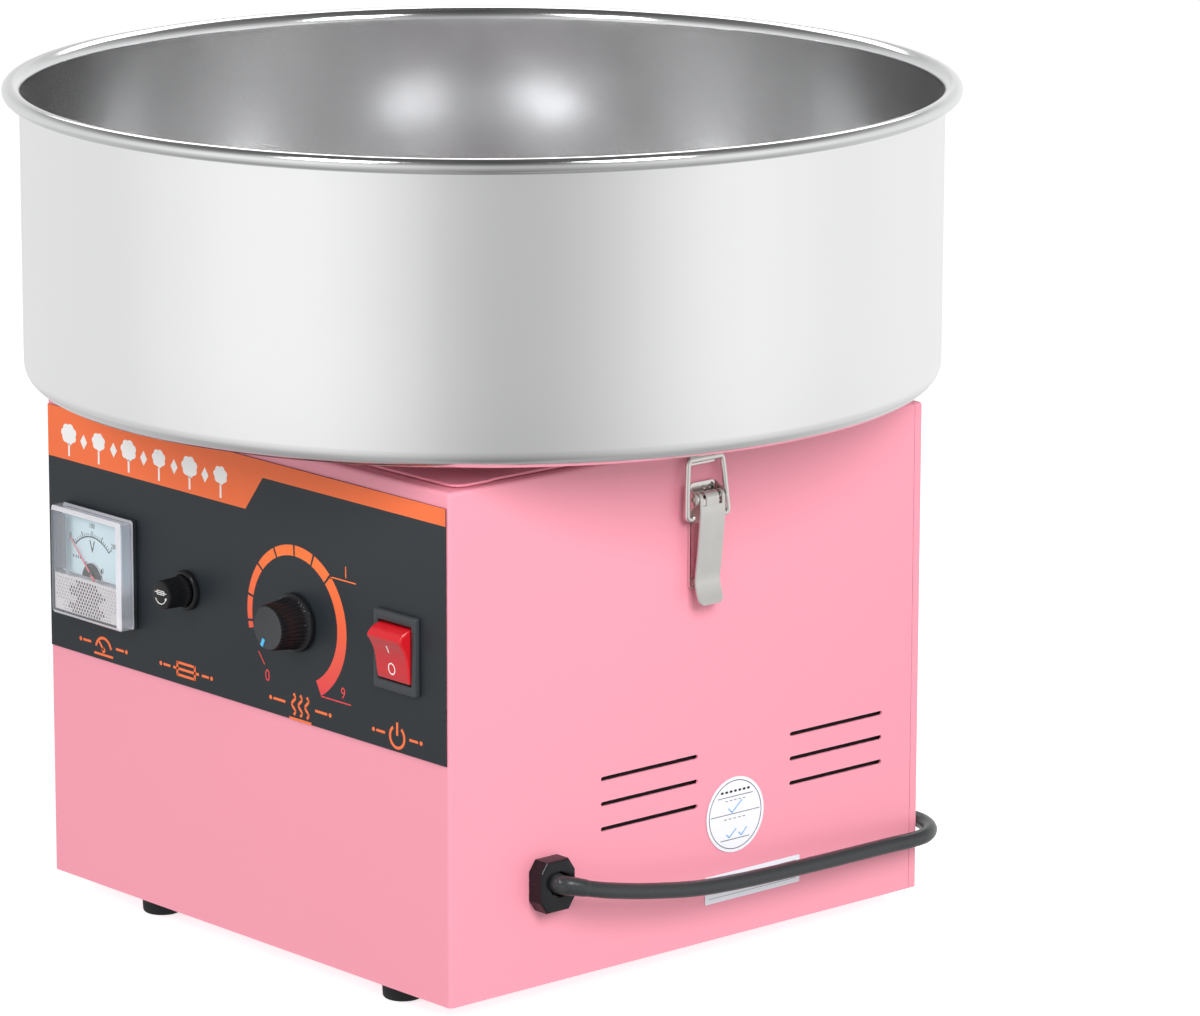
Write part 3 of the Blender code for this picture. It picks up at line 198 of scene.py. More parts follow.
def bowl_inside_steel():
    return finish("bowl_inside_steel", (0.86, 0.86, 0.865, 1), 0.2, metal=1.0, tint=0.03, tint_scale=20, grain=700,
        bump=0.22, depth=0.00004, marks=0.4)


def rim_steel():
    return finish("rim_steel", (0.8, 0.805, 0.81, 1), 0.13, metal=1.0, tint=0.02, grain=400, rough_change=0.04,
        bump=0.08, depth=0.00002, stretch=(1, 1, 6))


def nickel():
    return finish("nickel_plate", (0.74, 0.72, 0.69, 1), 0.11, metal=1.0, tint_scale=120, grain=1200,
        rough_change=0.06, bump=0.12, depth=0.00002)


def brushed_nickel():
    return finish("brushed_nickel", (0.7, 0.685, 0.655, 1), 0.34, metal=1.0, tint=0.06, tint_scale=90, grain=520,
        rough_change=0.1, bump=0.7, depth=0.00005, stretch=(6, 6, 0.25), marks=0.2)


def cast_aluminium():
    return finish("cast_aluminium", (0.62, 0.63, 0.645, 1), 0.42, metal=1.0, tint_scale=60, grain=1000,
        rough_change=0.1, bump=0.35, depth=0.00006)


def brass():
    return finish("brass", (0.62, 0.42, 0.16, 1), 0.33, metal=1.0, tint=0.08, tint_scale=80, grain=700)


def film_dark():
    # Painted shade: the film's colour is graded darker towards the bottom of the panel and lighter towards the top.
    return by_height(finish("panel_film_painted_shade", (0.045, 0.052, 0.06, 1), 0.48, tint=0.04, tint_scale=25, grain=2600,
        rough_change=0.05, bump=0.35, gloss=0.35), 0.1445, 0.2814, linear(31, 37, 42), linear(40, 46, 51))


def ink(name, colour, rough=0.45, glow=0.0):
    return finish(name, colour, rough, tint=0.025, tint_scale=60, grain=2600, rough_change=0.04, bump=0.2,
                  depth=0.00002, gloss=0.35, glow=glow)


def glossy_black():
    return finish("gloss_black", (0.009, 0.0095, 0.011, 1), 0.18, tint=0.15, tint_scale=200, grain=1800,
                  rough_change=0.06, gloss=0.26)


def satin_black():
    return finish("satin_black", (0.04, 0.045, 0.05, 1), 0.46, tint=0.08, tint_scale=120, grain=2400,
                  bump=0.4, gloss=0.4)


def cord_rubber():
    return finish("cord_jacket", (0.03, 0.034, 0.036, 1), 0.29, tint=0.1, tint_scale=70, grain=1600,
                  rough_change=0.07, bump=0.3, depth=0.00004)


def foot_rubber():
    return finish("foot_rubber", (0.022, 0.022, 0.024, 1), 0.7, tint=0.12, tint_scale=200, grain=1500,
                  rough_change=0.1, bump=0.5, depth=0.00005, gloss=0.3)


def lens_plastic(name, alpha, colour, rough=0.06):
    return finish(name, colour, rough, tint=0.02, tint_scale=150, grain=900, rough_change=0.02, bump=0.05,
                  depth=0.00001, gloss=0.6, alpha=alpha)


# ---- mesh building


def whole(mesh_builder, finish_index):
    for face in mesh_builder:
        face.material_index = finish_index
        face.smooth = True


def circle(radius, count, start=0.0, sweep=2 * pi):
    """Points round a circle. A full turn leaves out the last point, which would be the first again."""
    last = count if abs(abs(sweep) - 2 * pi) < 1e-6 else count - 1
    return [(radius * cos(start + sweep * i / last), radius * sin(start + sweep * i / last)) for i in range(count)]


def arc(centre, radius, start, end, count):
    """Points on an arc from start to end degrees, both ends included."""
    out = []
    for index in range(count + 1):
        angle = radians(start + (end - start) * index / count)
        out.append((centre[0] + radius * cos(angle), centre[1] + radius * sin(angle)))
    return out


def rounded(half_x, half_y, radius, count=6):
    """A rounded rectangle's outline, anticlockwise."""
    x, y = half_x - radius, half_y - radius
    out = []
    for (cx, cy), start in (((x, y), 0), ((-x, y), 90), ((-x, -y), 180), ((x, -y), 270)):
        out += arc((cx, cy), radius, start, start + 90, count)
    return out


def add_lathe(bm, profile, segments, place=IDENTITY, index=0, loop=False, ripple=None):
    """Turns (radius, height) pairs about local Z. ripple(angle, radius, height) may change a radius."""
    rows = []
    for radius, height in profile:
        if radius < 1e-7:
            rows.append([bm.verts.new(place @ Vector((0, 0, height)))] * segments)
            continue
        row = []
        for step in range(segments):
            angle = 2 * pi * step / segments
            r = ripple(angle, radius, height) if ripple else radius
            row.append(bm.verts.new(place @ Vector((r * cos(angle), r * sin(angle), height))))
        rows.append(row)
    made = []
    for low, high in zip(rows, rows[1:] + (rows[:1] if loop else [])):
        for step in range(segments):
            after = (step + 1) % segments
            corners = []
            for vert in (low[step], low[after], high[after], high[step]):
                if vert not in corners:
                    corners.append(vert)
            if len(corners) > 2:
                made.append(bm.faces.new(corners))
    whole(made, index)
    return made


def add_loft(bm, rings, index=0, caps=True, loop=False):
    """Skins rings of the same number of world points, in order."""
    rows = [[bm.verts.new(point) for point in ring] for ring in rings]
    made = []
    for low, high in zip(rows, rows[1:] + (rows[:1] if loop else [])):
        for step in range(len(low)):
            after = (step + 1) % len(low)
            made.append(bm.faces.new((low[step], low[after], high[after], high[step])))
    if caps and not loop:
        made += [bm.faces.new(list(reversed(rows[0]))), bm.faces.new(rows[-1])]
    whole(made, index)


def stack(place, *levels):
    """Rings for a loft. Each level is an outline in local XY and its height."""
    return [[place @ Vector((a, b, height)) for a, b in outline] for outline, height in levels]


def extrude(bm, outline, low, high, place, index):
    """A closed block over an outline in local XY. Its first face is the one at high."""
    bottom = [bm.verts.new(place @ Vector((x, y, low))) for x, y in outline]
    top = [bm.verts.new(place @ Vector((x, y, high))) for x, y in outline]
    made = [bm.faces.new(top), bm.faces.new(list(reversed(bottom)))]
    for step in range(len(outline)):
        after = (step + 1) % len(outline)
        made.append(bm.faces.new((bottom[step], bottom[after], top[after], top[step])))
    whole(made, index)
    return made


def oblong(x0, y0, x1, y1):
    return [(x0, y0), (x1, y0), (x1, y1), (x0, y1)]


def add_prism(bm, outline, low, high, place=IDENTITY, bevel=0.0, steps=2, index=0):
    """An outline in local XY from low to high, its rim at high rounded by bevel."""
    cap = extrude(bm, outline, low, high, place, index)[0]
    if bevel:
        bmesh.ops.bevel(bm, geom=list(cap.edges), offset=bevel, segments=steps, profile=0.5, affect="EDGES",
                        clamp_overlap=True)


def add_block(bm, low, high, bevel=0.0, steps=2, index=0, place=IDENTITY):
    """A box with every edge rounded."""
    made = extrude(bm, oblong(*low[:2], *high[:2]), low[2], high[2], place, index)
    if bevel:
        edges = list({edge for face in made for edge in face.edges})
        bmesh.ops.bevel(bm, geom=edges, offset=bevel, segments=steps, profile=0.5, affect="EDGES")


def add_band(bm, inner, outer, start, end, low, high, place, count=24, index=0):
    """A flat arc strip. inner and outer are radii or functions of the angle in degrees."""
    rings = []
    for step in range(count + 1):
        angle = start + (end - start) * step / count
        a = inner(angle) if callable(inner) else inner
        b = outer(angle) if callable(outer) else outer
        c, s = cos(radians(angle)), sin(radians(angle))
        corners = ((a, low), (b, low), (b, high), (a, high))
        rings.append([place @ Vector((r * c, r * s, h)) for r, h in corners])
    full = abs(abs(end - start) - 360) < 1e-6
    add_loft(bm, rings[:-1] if full else rings, index, caps=not full, loop=full)


def smooth_line(points, spacing):
    """A Catmull-Rom line through the points, resampled to an even spacing."""
    points = [Vector(p) for p in points]
    ends = [2 * points[0] - points[1], *points, 2 * points[-1] - points[-2]]
    dense = []
    for a, b, c, d in zip(ends, ends[1:], ends[2:], ends[3:]):
        for step in range(24):
            t = step / 24
            dense.append(0.5 * ((2 * b) + (c - a) * t + (2 * a - 5 * b + 4 * c - d) * t * t + (3 * b - a - 3 * c + d)
                * t ** 3))
    dense.append(points[-1])
    total = sum((q - p).length for p, q in zip(dense, dense[1:]))
    count = max(2, round(total / spacing))
    out, run, goal = [dense[0]], 0.0, total / count
    for p, q in zip(dense, dense[1:]):
        step = (q - p).length
        while step and run + step >= goal - 1e-9 and len(out) < count:
            out.append(p.lerp(q, (goal - run) / step))
            goal += total / count
        run += step
    out.append(dense[-1])
    return out


def add_tube(bm, path, radius, sides):
    """A round tube along the path. radius may be a function of the share of the path, from 0 to 1."""
    path = [Vector(p) for p in path]
    tangents = [(path[min(i + 1, len(path) - 1)] - path[max(i - 1, 0)]).normalized() for i in range(len(path))]
    side = tangents[0].orthogonal().normalized()
    rings = []
    for i, (point, tangent) in enumerate(zip(path, tangents)):
        side = (side - tangent * side.dot(tangent)).normalized()
        other = tangent.cross(side)
        r = radius(i / (len(path) - 1)) if callable(radius) else radius
        rings.append([point + r * (side * cos(a) + other * sin(a))
                      for a in (2 * pi * k / sides for k in range(sides))])
    add_loft(bm, rings)


def add_glyphs(bm, text, size, place, low, high, index=0, squeeze=1.0):
    """Flat raised digits or single letters, made from Blender's own outline shapes."""
    curve = bpy.data.curves.new("glyphs", "FONT")
    curve.body = text
    curve.size = size * METRES
    curve.align_x = curve.align_y = "CENTER"
    curve.resolution_u = 4
    helper = add_object("glyphs", curve)
    bpy.context.view_layer.update()
    graph = bpy.context.evaluated_depsgraph_get()
    mesh = bpy.data.meshes.new_from_object(helper.evaluated_get(graph))
    bpy.data.objects.remove(helper)
    bpy.data.curves.remove(curve)
    flat = bmesh.new()
    flat.from_mesh(mesh)
    bmesh.ops.remove_doubles(flat, verts=flat.verts, dist=1e-6)
    top, bottom = ({v: bm.verts.new(place @ Vector((v.co.x / METRES * squeeze, v.co.y / METRES,
        height))) for v in flat.verts} for height in (high, low))
    made = []
    for face in flat.faces:
        made.append(bm.faces.new([top[v] for v in face.verts]))
        made.append(bm.faces.new([bottom[v] for v in reversed(face.verts)]))
    for edge in flat.edges:
        if len(edge.link_faces) == 1:
            a, b = edge.verts
            made.append(bm.faces.new((bottom[a], bottom[b], top[b], top[a])))
    whole(made, index)
    flat.free()
    bpy.data.meshes.remove(mesh)


def add_object(name, data):
    obj = bpy.data.objects.new(name, data)
    bpy.context.scene.collection.objects.link(obj)
    return obj


def show(bm, name, finishes, body, replaces=(), angle=38.0):
    """Turns the mesh, built in millimetres, into a piece that rides on a CAD body."""
    bmesh.ops.transform(bm, matrix=Matrix.Scale(METRES, 4), verts=bm.verts)
    bmesh.ops.remove_doubles(bm, verts=bm.verts, dist=1e-7)
    bmesh.ops.recalc_face_normals(bm, faces=bm.faces)
    mesh = bpy.data.meshes.new(name)
    bm.to_mesh(mesh)
    bm.free()
    for key in finishes.split():
        mesh.materials.append(PAINTS[key])
    mesh.shade_smooth()
    mesh.set_sharp_from_angle(angle=radians(angle))
    obj = add_object(name, mesh)
    bpy.context.view_layer.update()
    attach(obj, body)
    if replaces:
        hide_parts(*replaces)
    return obj


def box_of(name):
    """A CAD node's two corners in millimetres."""
    return [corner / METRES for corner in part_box(name)]


# ---- camera, light and floor


def make_camera():
    back = Vector((sin(CAMERA_AZIMUTH) * cos(CAMERA_PITCH), -cos(CAMERA_AZIMUTH) * cos(CAMERA_PITCH),
                   sin(CAMERA_PITCH)))
    right = Vector((cos(CAMERA_AZIMUTH), sin(CAMERA_AZIMUTH), 0))
    up = back.cross(right)
    data = bpy.data.cameras.new("camera")
    data.sensor_width = 36
    data.lens = CAMERA_LENS
    data.shift_x, data.shift_y = CAMERA_SHIFT
    data.clip_end = 50
    camera = add_object("camera", data)
    camera.matrix_world = Matrix(((right.x, up.x, back.x, CAMERA_PLACE.x), (right.y, up.y, back.y, CAMERA_PLACE.y),
        (right.z, up.z, back.z, CAMERA_PLACE.z), (0, 0, 0, 1)))
    bpy.context.scene.camera = camera
    bpy.context.scene.view_settings.view_transform = "Standard"


STUDIO_RING = ((-180, 0.82), (-100, 0.81), (-82, 0.9), (-60, 0.99), (-42, 1.0), (-30, 0.93), (-18, 0.8), (-7, 0.61),
    (4, 0.52), (15, 0.53), (26, 0.61), (36, 0.72), (47, 0.85), (58, 0.94), (70, 0.98), (84, 0.94), (98, 0.9),
    (130, 0.92), (180, 0.93))
STUDIO_LIFT = ((0.0, 0.45), (0.28, 0.8), (0.38, 1.0), (0.52, 1.0), (0.62, 0.88), (0.73, 0.53), (0.85, 0.24),
               (1.0, 0.13))


def ramp_node(tree, stops, share):
    """Grey levels that ease from stop to stop."""
    node = add_node(tree, "ValToRGB", {"Fac": share})
    ramp = node.color_ramp
    ramp.interpolation = "EASE"
    ramp.elements.remove(ramp.elements[-1])
    for index, (place, value) in enumerate(stops):
        element = ramp.elements.new(place) if index else ramp.elements[0]
        element.position = place
        element.color = (value, value, value, 1)
    return node.outputs["Color"]


def make_world():
    """A studio of soft walls: brightness by direction round the camera, dimmer overhead, white to the camera."""
    world = bpy.data.worlds.new("studio")
    bpy.context.scene.world = world
    world.use_nodes = True
    tree = world.node_tree
    direction = add_node(tree, "TexCoord").outputs["Generated"]

    def math(operation, first, second):
        return add_node(tree, "Math", {0: first, 1: second}, operation=operation).outputs[0]

    def along(axis):
        return add_node(tree, "VectorMath", {0: direction, 1: axis}, operation="DOT_PRODUCT").outputs["Value"]

    c, s = cos(CAMERA_AZIMUTH), sin(CAMERA_AZIMUTH)
    turn = math("DIVIDE", math("ARCTAN2", along((c, s, 0)), along((s, -c, 0))), 2 * pi)
    ring = ramp_node(tree, [((angle + 180) / 360, value) for angle, value in STUDIO_RING], math("ADD", turn, 0.5))
    rise = math("MULTIPLY", along((0, 0, 1)), 0.5)
    lift = ramp_node(tree, STUDIO_LIFT, math("ADD", rise, 0.5))
    shown = tree.nodes["Background"]
    feed(tree, shown, {"Color": math("MULTIPLY", ring, lift)})
    white = add_node(tree, "Background", {"Color": (1.02, 1.02, 1.02, 1)})
    camera_ray = add_node(tree, "LightPath").outputs["Is Camera Ray"]
    mix = add_node(tree, "MixShader", {0: camera_ray, 1: shown.outputs[0], 2: white.outputs[0]})
    feed(tree, tree.nodes["World Output"], {"Surface": mix.outputs[0]})


def add_softbox(name, place, target, size, power, glossy):
    data = bpy.data.lights.new(name, "AREA")
    data.shape = "RECTANGLE"
    data.size, data.size_y = size
    data.energy = power
    light = add_object(name, data)
    direction = Vector(target) - Vector(place)
    light.matrix_world = Matrix.Translation(place) @ direction.to_track_quat("-Z", "Y").to_matrix().to_4x4()
    light.visible_glossy = glossy
    return light


def around(offset, rise, distance, height=0.3):
    """A place by degrees round from the camera and degrees up, as seen from the bowl."""
    turn = CAMERA_AZIMUTH + radians(offset)
    flat = distance * cos(radians(rise))
    return flat * sin(turn), -flat * cos(turn), height + distance * sin(radians(rise))


def make_lights():
    """Two lights for the painted walls, and three glossy softboxes that the steel mirrors."""
    add_softbox("key", (2.4, -0.7, 1.7), (0.0, 0.0, 0.2), (1.4, 1.4), 72, False)
    add_softbox("front_fill", (-0.2, -2.3, 1.6), (0.0, 0.0, 0.25), (1.6, 1.0), 28, False)
    bowl = (0.0, 0.0, 0.42)
    for name, offset, rise, size, power in (("bowl_left", -38, 42, (0.75, 1.0), 27),
            ("bowl_right", 41, 42, (0.75, 1.0), 24), ("bowl_back", 180, 42, (2.4, 1.0), 20)):
        box = add_softbox(name, around(offset, rise, 2.6), bowl, size, power, True)
        box.visible_diffuse = False


def make_floor():
    """A pale table top that shades softly round the feet."""
    material = finish("pale_floor", (0.8, 0.8, 0.8, 1), 0.9, tint=0.004, tint_scale=2, grain=40, rough_change=0.03,
                      bump=0.02, gloss=0.1, glow=0.88)
    mesh = bpy.data.meshes.new("floor")
    reach = 6.0
    mesh.from_pydata([(-reach, -reach, 0), (reach, -reach, 0), (reach, reach, 0), (-reach, reach, 0)], [],
                     [(0, 1, 2, 3)])
    mesh.materials.append(material)
    floor = add_object("floor", mesh)
    floor.visible_glossy = False
    floor.visible_diffuse = False


# ---- the cord, its coil and its plug


def coil_points():
    """Three turns, clockwise from above: round the outside, round the inside, then up onto the inside."""
    out = []
    step = 12

    def share(angle, start, end):
        t = max(0.0, min(1.0, (start - angle) / (start - end)))
        return t * t * (3 - 2 * t)

    for angle in range(-90 - step, -1170, -step):
        inwards = share(angle, -382, -446)
        outwards = share(angle, -972, -1046)
        rise = share(angle, -682, -748)
        radius = COIL_OUTER + (COIL_INNER - COIL_OUTER) * inwards + (COIL_OUTER - COIL_INNER) * outwards
        height = COIL_LOW + (COIL_HIGH - COIL_LOW) * rise
        a = radians(angle)
        out.append((COIL_CENTRE[0] + radius * cos(a), COIL_CENTRE[1] + radius * sin(a), height))
    return out


def cord_line():
    start = COIL_CENTRE[0], COIL_CENTRE[1] - COIL_OUTER
    plug_end = PLUG_PLACE[0] + 14
    return smooth_line([(183.2, -107.6, 72.2), *CORD_ROUTE, (-42, 187, 4.7), (start[0], start[1], COIL_LOW),
        *coil_points(), (start[0], start[1], COIL_HIGH), (-80, 187.1, 13.4), (-105, 187.1, 13.1),
        (plug_end, 187.1, 12.8)], 3)


def make_cord():
    line = cord_line()
    data = bpy.data.curves.new("cord", "CURVE")
    data.dimensions = "3D"
    data.bevel_depth = CORD_DIAMETER / 2
    data.bevel_resolution = 6
    data.use_fill_caps = True
    spline = data.splines.new("POLY")
    spline.points.add(len(line) - 1)
    for point, place in zip(spline.points, line):
        point.co = (*place * METRES, 1)
    spline.use_smooth = True
    data.materials.append(PAINTS["cord"])
    cord = add_object("cord", data)
    bpy.context.view_layer.update()
    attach(cord, "root")
    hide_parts("power_cord", "cord_coil")
    return cord, line, sum((b - a).length for a, b in zip(line, line[1:])) * METRES


def make_strain_relief(line):
    """The moulded sleeve that leads the cord out of its bushing, thick at the wall and thin at its end."""
    bm = bmesh.new()
    path = smooth_line([(177.5, -104, 71.5), (180.5, -104.6, 71.8), (183.6, -105.2, 71.9), *line[2:7]], 1.2)
    add_tube(bm, path, lambda t: 5.7 - 1.15 * t - 10 * max(0.0, t - 0.94), 28)
    return show(bm, "strain_relief", "cord", "root")


def make_plug():
    """A moulded plug lying on its side, its two flat pins away from the cord."""
    bm = bmesh.new()
    x, y, z = PLUG_PLACE
    sections = ((19, 6.2, 6.2, 6), (20, 5.6, 5.6, 5.4), (17, 6.6, 6.6, 6.2), (13, 7.2, 7.2, 6.4), (8.5, 9.2, 8.8, 6),
        (4, 11.6, 10.8, 5.4), (-2, 13, 12, 5), (-11, 13.5, 12.5, 4.5), (-16, 13.2, 12.2, 4.2), (-19, 12.4, 11.4, 4),
        (-20, 11, 10, 3.6))
    add_loft(bm, [[(x + along, y + a, z + b) for a, b in rounded(half_y, half_z, radius, 5)]
                  for along, half_y, half_z, radius in sorted(sections, reverse=True)])
    for along in (15, 11.8, 8.6):
        half = 7.4 + (15 - along) * 0.3
        rings = []
        for offset, grow in ((0.8, 0.0), (0.5, 0.7), (-0.5, 0.7), (-0.8, 0.0)):
            h = half + grow
            rings.append([(x + along + offset, y + a, z + b) for a, b in rounded(h, h * 0.97, h * 0.8, 5)])
        add_loft(bm, rings)
    for side in (-1, 1):
        middle = y + side * 6.5
        low = (x - 36, middle - 0.8, z - 3.2)
        add_block(bm, low, (x - 19.5, middle + 0.8, z + 3.2), 0.5, 2, 1)
    return show(bm, "power_plug_moulding", "cord nickel", "root", ["power_plug"])


def make_tie():
    """A soft wire tie round all four strands at the coil's far side, with a twisted tail on top."""
    bm = bmesh.new()
    turn = Matrix.Rotation(pi / 2, 4, "Y") @ Matrix.Rotation(pi / 2, 4, "Z")
    place = Matrix.Translation((COIL_CENTRE[0], COIL_CENTRE[1] + 48, 9.1)) @ turn
    outer, inner = rounded(9.6, 9.1, 4.4, 6), rounded(9.1, 8.8, 4, 6)
    add_loft(bm, stack(place, (outer, -3), (outer, 3), (inner, 3), (inner, -3)), loop=True)
    top = Vector((COIL_CENTRE[0], COIL_CENTRE[1] + 48, 18.6))
    tail = [top + Vector(step) for step in ((0, 0, -0.5), (2, -3, 1), (4, -8, 1.2), (3, -14, 0.6))]
    add_tube(bm, smooth_line(tail, 1), 0.9, 8)
    return show(bm, "cord_tie", "gloss_black", "root")


def make_cord_set():
    cord, line, length = make_cord()
    relief, plug, tie = make_strain_relief(line), make_plug(), make_tie()


# ---- the bowl


def make_bowl():
    """A spun steel bowl: outside, rolled rim, inside, floor and the hole that clears the head."""
    low, high = box_of("bowl")
    bottom, top = low.z, 465.9
    radius, sheet, fillet, bead, hole = 250.6, 1.5, 10, 4.2, 78
    bead_r, bead_z = high.x - bead, top - bead
    profile = [(hole, bottom), (hole + 20, bottom), (radius - fillet, bottom)]
    profile += arc((radius - fillet, bottom + fillet), fillet, -90, 0, 8)[1:]
    profile += [(radius, bottom + 50), (radius, bottom + 100), (radius, bead_z - 3), (radius, bead_z - 1.6)]
    profile += arc((bead_r, bead_z), bead, -168, 90, 20)
    profile += arc((bead_r, bead_z - 2.5), bead + 2.5, 97, 180, 7)
    inside = radius - sheet
    profile += [(inside, bead_z - 6), (inside, bottom + 100), (inside, bottom + 50)]
    profile += arc((radius - fillet, bottom + fillet), fillet - sheet, 0, -90, 8)
    profile += [(180, bottom + sheet), (120, bottom + sheet), (hole + 3, bottom + sheet),
                (hole + 1.6, bottom + 2.1), (hole + 0.6, bottom + 2.1), (hole, bottom + 1.5)]
    bm = bmesh.new()
    made = add_lathe(bm, profile, 256, loop=True)
    for face in made:
        middle = face.calc_center_median()
        r = hypot(middle.x, middle.y)
        if middle.z > bead_z - 4.6 and (r > radius + 0.4 or middle.z > bead_z - 2):
            face.material_index = 2
        elif r < inside + 0.4 and middle.z > bottom + 1.2:
            face.material_index = 1
    return show(bm, "spun_bowl", "satin_steel bowl_inside rim", "bowl", ["bowl"], angle=50)


# ---- the printed panel film

ORANGE = linear(249, 116, 62)
RED_END = linear(226, 62, 72)


def film_plate(bm, outline, lift=0.09):
    add_prism(bm, outline, 0.0, lift, on_front(0, 0, FILM_FACE))


def make_header():
    """The orange band across the top of the film, deep on the left and narrow on the right."""
    bm = bmesh.new()
    x, top = 169.2, 281.35
    film_plate(bm, [(-x, 252.5), (5, 252.5), (20, 272), (x, 272), (x, top), (-x, top)])
    show(bm, "header_band", "orange", "root")


def cloud(x, z, size):
    """A puff of floss: one outline of overlapping bumps."""
    out = []
    for step in range(96):
        angle = 2 * pi * step / 96
        r = size * (0.86 + 0.14 * abs(sin(3.5 * angle + 0.4)))
        out.append((x + r * cos(angle), z + 0.86 * r * sin(angle)))
    return out


def blob(x, z, half_x, half_z, count=32):
    return [(x + half_x * cos(2 * pi * i / count), z + half_z * sin(2 * pi * i / count)) for i in range(count)]


def bar(x0, z0, x1, z1, width):
    """A straight stroke between two points."""
    along = Vector((x1 - x0, z1 - z0)).normalized()
    out = Vector((-along.y, along.x)) * width / 2
    return [(x0 - out.x, z0 - out.y), (x1 - out.x, z1 - out.y), (x1 + out.x, z1 + out.y), (x0 + out.x, z0 + out.y)]


def make_header_signs():
    """White pictograms in place of a title: puffs of floss on sticks with sugar grains between them."""
    bm = bmesh.new()
    lift = 0.16
    z = 265
    for index in range(6):
        x = -150 + index * 26.8
        size = 7 if index % 2 == 0 else 6
        film_plate(bm, cloud(x, z + 2.2, size), lift=lift)
        film_plate(bm, bar(x, z - 3.2, x, z - 10.2, 1.5), lift=lift)
        if index < 5:
            mid = x + 13.4
            film_plate(bm, [(mid - 3, z), (mid, z - 4.2), (mid + 3, z), (mid, z + 4.2)], lift=lift)
    show(bm, "header_signs", "white_ink", "root")


def stroke_ring(bm, x, z, radius, width, start, end):
    add_band(bm, radius - width / 2, radius + width / 2, start, end, 0.0, 0.09, on_front(x, z, FILM_FACE), 32)


CAPTION_SIZE = 1.32


def caption(bm, x, shapes, rings, half, reach):
    """One sign under a control, drawn round its own centre, with a dash and a dot on each side."""
    z, k = 153, CAPTION_SIZE
    for outline in shapes:
        film_plate(bm, [(x + a * k, z + b * k) for a, b in outline])
    for up, radius, width, start, end in rings:
        stroke_ring(bm, x, z + up * k, radius * k, width * k, start, end)
    for sign in (-1, 1):
        a, b = sorted((x + sign * half * k, x + sign * (half * k + reach)))
        film_plate(bm, bar(a, z, b, z, 1.4))
        film_plate(bm, blob(x + sign * (half * k + reach + 2.4), z, 1.2, 1.2, 12))


def wave(x):
    """A rising heat wave as a row of short strokes."""
    points = [(x + 1.1 * sin(t * pi / 4), -4.4 + 8.8 * t / 12) for t in range(13)]
    return [bar(*a, *b, 1.2) for a, b in zip(points, points[1:])]


def make_captions():
    """Orange signs under the controls: a gauge, a fuse, a heating wave and a power ring."""
    bm = bmesh.new()
    caption(bm, METER_X, [bar(0, -2.2, -3, 1.2, 1.1), blob(0, -2.2, 1.2, 1.2, 16), bar(-6.4, -4.2, 6.4, -4.2, 1)],
        [(-2.2, 5.2, 1.2, 12, 168)], 8.5, 7)
    caption(bm, -48, [bar(-5.8, -2.6, 5.8, -2.6, 1.1), bar(-5.8, 2.6, 5.8, 2.6, 1.1),
        bar(-5.8, -3.1, -5.8, 3.1, 1.1), bar(5.8, -3.1, 5.8, 3.1, 1.1), bar(-8.5, 0, 8.5, 0, 1.1)], [], 10.5, 6)
    caption(bm, 50, wave(-4.2) + wave(0.0) + wave(4.2) + [bar(-7, -6, 7, -6, 1)], [], 9.5, 10)
    caption(bm, 130, [bar(0, 0.2, 0, 5.6, 1.2)], [(-0.4, 4.4, 1.2, 125, 415)], 7.5, 7)
    show(bm, "caption_signs", "orange", "root")


def scale_inner(angle):
    """The heat scale's inner radius, which shrinks as the scale turns clockwise to its hot end."""
    share = (180 - angle) / 240
    return 37.4 - 4.4 * share - 0.2 * sin(share * pi)


def make_heat_scale():
    """A band that widens and reddens to its hot end, with leader lines to the digits 0, 1 and 9."""
    bm = bmesh.new()
    place = on_front(KNOB_X, CONTROL_Z, FILM_FACE)
    for start, end in ((195.0, 190.0), (188.0, 169.8), (167.8, 142.2), (140.2, 117.8), (115.8, 93.4), (91.4, 70.4),
                       (68.4, 48.2), (46.2, -61.0)):
        add_band(bm, scale_inner, 41.5, start, end, 0, 0.09, place, 10 if end > 0 else 40)
    for a, b, c, d in ((28.4, 29, 30.4, 29.9), (30.3, 29.9, 49.5, 29.9),
                       (20.2, -36.5, 44.8, -36.5), (-32.4, -22.1, -27.2, -28.5)):
        add_prism(bm, bar(a, b, c, d, 0.7), 0, 0.09, place)
    for text, size, a, b in (("1", 8.8, 41.2, 34.3), ("9", 8.8, 38.4, -31.6), ("0", 9.2, -25, -34.3)):
        add_glyphs(bm, text, size, place @ standing(a, b), 0, 0.09, squeeze=0.9)
    show(bm, "heat_scale", "scale", "root")


# ---- the meter


DIAL_CARD = 4.1
NEEDLE_Y = -177.7


